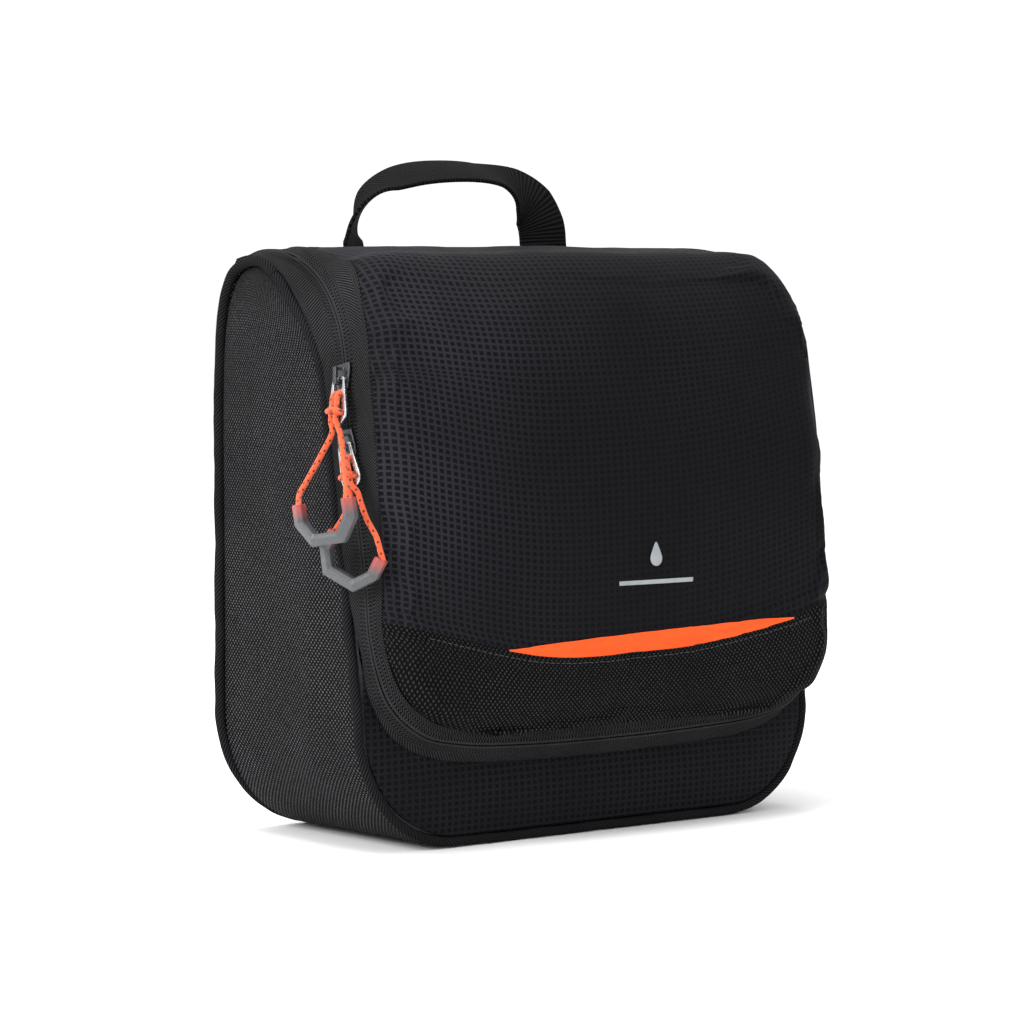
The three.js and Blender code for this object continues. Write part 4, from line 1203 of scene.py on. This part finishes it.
def add_flap_inside():
    across = np.sin(np.linspace(-1, 1, 90) * np.pi / 2)
    rows = np.linspace(0.02, 0.985, 150)[:, None]
    foam = flap_surface(rows, 0.96 * across[None], -1.4)
    piece = cloth("flap_padding", foam, FOAM, None, 0.7, flip=True)
    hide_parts("flap_foam", "flap_top_foam")
    bend_with_flap(piece)
    lining = flap_point(rows, 0.985 * across[None], 6.3)
    soft = ripple(lining, 40, 61) * 0.4 + ripple(lining, 16, 62) * 0.15
    lining = lining + flap_normal(np.broadcast_to(rows, soft.shape)) * soft[..., None]
    piece = cloth("flap_lining_cloth", lining, LINING, None, 0.8)
    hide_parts("flap_lining", "flap_top_lining")
    bend_with_flap(piece)


LENS_LEFT, LENS_RIGHT = -66, 90


def lens_top(x):
    bow = 1 - ((x - 12) / 78) ** 2
    chord = smile(LENS_LEFT) + ((smile(LENS_RIGHT) - smile(LENS_LEFT))
                                * (x - LENS_LEFT) / (LENS_RIGHT - LENS_LEFT))
    return chord + 1.3 * bow


def front_patch(name, x, z, material, lift, thickness=0.5):
    """A patch on the flap's front over a grid of x and z."""
    grid = flap_surface(row_at_height(z), x / FLAP_HALF, lift)
    return cloth(name, grid, material, "flap_front", thickness, plain_uv(grid), flip=True)


def add_flap_trim():
    x = np.linspace(LENS_LEFT, LENS_RIGHT, 160)[None]
    low, high = smile(x) - 0.5, np.maximum(lens_top(x), smile(x) - 0.3)
    s = np.linspace(1, 0, 14)[:, None]
    lens = front_patch("accent_insert", np.broadcast_to(x, (14, 160)),
                       low * (1 - s) + high * s, ACCENT, 0.55)
    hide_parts("flap_accent")
    x = np.broadcast_to(np.linspace(-6, 34, 60)[None], (6, 60))
    z = np.broadcast_to(np.linspace(106.1, 104.4, 6)[:, None], (6, 60))
    bar = front_patch("mark_bar", x, z, MARK, 0.12, 0.3)
    angle = np.linspace(0, 2 * np.pi, 49)[None]
    radius = np.linspace(0.02, 1, 8)[:, None]
    drop = 3.1 * radius
    point = np.maximum(np.cos(angle), 0) ** 3
    droplet = front_patch("mark_drop", 14 + drop * np.sin(angle) * (1 - 0.35 * point),
                          114.5 + drop * (np.cos(angle) + 1.1 * point), MARK, 0.12, 0.3)
    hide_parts("flap_mark")


def stitches(name, route, outward, pitch, size, body):
    """A row of short stitches along a seam, each a small spindle of thread."""
    run = lengths(route)
    count = int(run[-1] / pitch)
    at = (np.arange(count) + 0.5) * pitch
    middle = np.stack([np.interp(at, run, route[:, k]) for k in range(3)], axis=1)
    normal = unit(np.stack([np.interp(at, run, outward[:, k]) for k in range(3)], axis=1))
    ahead = np.stack([np.interp(at + 0.2, run, route[:, k]) for k in range(3)], axis=1)
    along = unit(ahead - middle)
    side = unit(np.cross(normal, along))
    vertices, faces = [], []
    steps, sides = 7, 6
    ring = np.linspace(0, 2 * np.pi, sides + 1)[:-1]
    for k in range(count):
        base = len(vertices)
        for s in np.linspace(-1, 1, steps):
            girth = size * math.sqrt(max(1 - s * s, 0.02))
            centre = middle[k] + along[k] * s * pitch * 0.36 + normal[k] * (size * 0.5 * (1 - s * s))
            for a in ring:
                vertices.append(centre + side[k] * math.cos(a) * girth
                                + normal[k] * math.sin(a) * girth * 0.8)
        for i in range(steps - 1):
            low, high = base + i * sides, base + (i + 1) * sides
            for j in range(sides):
                following = (j + 1) % sides
                faces.append([low + j, low + following, high + following, high + j])
        faces.append([base + j for j in range(sides)][::-1])
        faces.append([base + (steps - 1) * sides + j for j in range(sides)])
    vertices = np.array(vertices)
    piece = new_mesh(name, vertices, faces, vertices[:, [0, 2]] * MM)
    piece.data.materials.append(THREAD)
    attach(piece, body)


STITCH = 2.9                      # length of a stitch and its gap


def add_stitches():
    x = np.linspace(-104, 104, 400)
    row = row_at_height(smile(x) - 3.0)
    route = flap_surface(row, x / FLAP_HALF, 0.35)
    stitches("smile_stitches", route, flap_normal(row), STITCH, 0.24, "flap_front")
    run = np.linspace(11.6, 2 * LAST - 11.6, 600) / (2 * LAST)
    edge = towards(body_seam, zip_line, -2.4)(run)
    outward = np.broadcast_to(np.array([0, -1.0, -0.15]), edge.shape)
    stitches("front_stitches", edge + outward * 1.2, outward, STITCH, 0.22, "bag")


add_flap()
add_flap_inside()
add_flap_trim()
add_stitches()

# ---------------------------------------------------------------- carry handle

HANDLE_LINE = [
    [-46, 64.8, 242.5], [-44.5, 65.5, 250.3], [-39, 67, 258.7], [-31.5, 68, 265.6],
    [-17, 68, 271.6], [5, 68, 274.2], [28, 68, 272.8], [43.5, 68, 267], [52, 67, 259.4],
    [55.3, 65.5, 251.5], [56, 64.8, 242.5],
]
HANDLE_TURN = [36, 44, 51, 62, 74, 80, 70, 28, 4, 0, 0]
WEBBING_WIDTH = 25


def handle_grid():
    """The webbing's middle surface: rows along the strap, columns across it."""
    curve = Curve(HANDLE_LINE)
    u = np.linspace(0, 1, 220)
    line = curve.at(u)
    turn = np.radians(np.interp(u, np.linspace(0, 1, len(HANDLE_TURN)), HANDLE_TURN))
    across = np.stack([np.cos(turn), np.sin(turn), 0.34 * np.sin(np.pi * u)], axis=-1)
    foot = np.array([[x, y, z] for x, y, z in HANDLE_LINE])[[0, -1]] + [[0, -1.4, -6.5]] * 2
    line = np.vstack([np.linspace(foot[0], line[0], 14)[:-1], line,
                      np.linspace(line[-1], foot[1], 14)[1:]])
    across = np.vstack([np.repeat(across[:1], 13, axis=0), across,
                        np.repeat(across[-1:], 13, axis=0)])
    along = unit(np.gradient(line, axis=0))
    across = unit(across - along * (across * along).sum(-1, keepdims=True))
    v = np.linspace(-0.5, 0.5, 26)[None, :, None]
    grid = line[:, None] + across[:, None] * v * WEBBING_WIDTH
    cup = (1 - (2 * v[..., 0]) ** 2) * 0.7
    normal = np.cross(along, across)
    return grid + normal[:, None] * cup[..., None]


def add_handle():
    grid = handle_grid()
    run = lengths(grid[:, grid.shape[1] // 2])
    across = np.linspace(-0.5, 0.5, grid.shape[1]) * WEBBING_WIDTH
    uv = np.stack(np.broadcast_arrays(across[None], run[:, None]), axis=-1)
    piece = cloth("webbing_handle", grid, WEBBING, None, 1.7, uv)
    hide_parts("carry_handle", "handle_end_left", "handle_end_right")
    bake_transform(piece)


def add_hinge():
    """The binding over the seam where the flap joins the back."""
    section = Curve([[0, 62.1, 233.5], [0, 62.2, 236.2], [0, 61.2, 239.2], [0, 58.2, 240.9],
                     [0, 54, 241.2], [0, 50.5, 240.9]]).even(22)
    x = np.linspace(-111, 112, 240)
    grid = np.broadcast_to(section[:, None], (22, 240, 3)).copy()
    grid[..., 0] = x
    grid[..., 2] -= 3.2 * smoothstep(np.abs(x), 98, 113)
    bump = ripple(grid, 24, 71) * 0.3 + ripple(grid, 8, 72) * 0.12
    grid += grid_normals(grid) * bump[..., None]
    piece = cloth("hinge_tape", grid, PIPING, "bag", 0.7, flip=True)
    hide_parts("hinge_binding")


add_handle()
add_hinge()

# ---------------------------------------------------------------- inside


def add_inner_gusset():
    grid = gusset_grid(30, 4.4, 60, 110)[:, 9:-9]
    squeeze = np.linspace(0.985, 0.96, 30)[:, None]
    grid[..., 1] = 13 + (grid[..., 1] - 13) * squeeze
    soft = ripple(grid, 34, 81) * 0.5 + ripple(grid, 14, 82) * 0.2
    grid = grid - grid_normals(grid) * (soft * smoothstep(grid[..., 2], 6, 30))[..., None]
    piece = cloth("gusset_lining", grid, LINING, "bag", 0.7)
    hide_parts("side_lining_left", "side_lining_right", "base_lining")


def add_inner_back():
    grid = back_grid(50, 70, 2.2, 57.4, 233)
    grid[..., 0] *= 1 - 0.14 * smoothstep(grid[..., 2], 180, 225)
    soft = ripple(grid, 40, 83) * 0.25 + ripple(grid, 18, 84) * 0.1
    grid[..., 1] += soft - 0.35
    piece = cloth("back_lining_cloth", grid, LINING, "bag", 0.5, plain_uv(grid))
    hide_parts("back_lining")


def add_divider():
    u = np.linspace(0, 1, 120)[None]
    v = np.linspace(1, 0, 60)[:, None]
    y = BACK_Y - 13.5 + 4 * (1 - np.sin(np.pi * u) ** 0.3)
    y = y + np.zeros_like(v)
    x = (-104 + 208 * u) * (1 - 0.12 * (1 - v) ** 4)
    z = 12 + 116 * v + np.zeros_like(u)
    gather = np.sin(u * 208 / 6.5 * 2 * np.pi) * 0.7 * smoothstep(v, 0.7, 1)
    sag = -1.6 * np.sin(np.pi * u) * v + 0.6 * np.sin(9 * u + 3 * v)
    grid = np.stack([x, y + gather + sag - 0.5, z], axis=-1)
    piece = cloth("divider_net", grid, NET, "bag", 0.5, plain_uv(grid))
    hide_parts("divider_pocket")
    rim = grid[0] + [0, -0.2, 0.4]
    band = tube_mesh("divider_band", resample(rim, 400), 1.9, 12, 1.8, up=(0, 1, 0))
    band.data.materials.append(PIPING)
    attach(band, "bag")
    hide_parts("divider_elastic")


def add_mesh_pocket():
    u = np.linspace(0, 1, 100)[None]
    v = np.linspace(1, 0, 50)[:, None]
    row = 0.62 + (0.47 - 0.62) * v + np.zeros_like(u)
    across = 0.82 - 1.64 * u + np.zeros_like(v)
    bulge = 8 * np.sin(np.pi * u) ** 0.5 * (0.15 + 0.85 * np.sin(1.9 * v))
    slack = 0.5 * np.sin(u * 30 + 2 * v) * np.sin(np.pi * v)
    grid = flap_point(row, across, 6.6 + bulge + slack)
    piece = cloth("pocket_net", grid, NET, "flap_front", 0.5)
    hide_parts("mesh_pocket")
    rim = grid[0] + [0, 1.6, 1.4]
    band = tube_mesh("pocket_band", resample(rim, 300), 1.5, 12, 1.3)
    band.data.materials.append(PIPING)
    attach(band, "flap_front")
    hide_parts("mesh_pocket_binding")


def paint_boards():
    for node in ("back_stiffener", "base_stiffener"):
        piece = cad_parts[node]
        piece.data.materials.clear()
        piece.data.materials.append(BOARD)


add_inner_gusset()
add_inner_back()
add_divider()
add_mesh_pocket()
paint_boards()

# ---------------------------------------------------------------- floor and light


def add_floor():
    mesh = bpy.data.meshes.new("floor")
    reach = 60
    corners = [(-reach, -reach, 0), (reach, -reach, 0), (reach, reach, 0), (-reach, reach, 0)]
    mesh.from_pydata(corners, [], [(0, 1, 2, 3)])
    floor = bpy.data.objects.new("floor", mesh)
    bpy.context.scene.collection.objects.link(floor)
    n = Nodes("floor")
    grain = n.noise(40.0, 2.0)
    shade = n.mix(n.ramp(grain, 0.3, 0.7), (0.95, 0.95, 0.95), (0.96, 0.96, 0.96))
    mesh.materials.append(n.finish(shade, 0.9, Specular_IOR_Level=0.1))


def add_light(name, place, target, size, power):
    data = bpy.data.lights.new(name, "AREA")
    data.size = size
    data.energy = power
    light = bpy.data.objects.new(name, data)
    light.location = place
    aim = Vector(target) - Vector(place)
    light.rotation_euler = aim.to_track_quat("-Z", "Y").to_euler()
    bpy.context.scene.collection.objects.link(light)


def add_lights():
    world = bpy.data.worlds.new("studio")
    world.use_nodes = True
    background = world.node_tree.nodes["Background"]
    background.inputs[0].default_value = (1, 1, 1, 1)
    background.inputs[1].default_value = 1.06
    bpy.context.scene.world = world
    add_light("key", (-2.1, -0.25, 1.3), (0, 0, 0.12), 1.0, 48)
    add_light("top", (-0.3, 0.0, 2.2), (0, 0, 0.12), 1.3, 34)
    bpy.context.scene.view_settings.view_transform = "Standard"


add_floor()
add_lights()
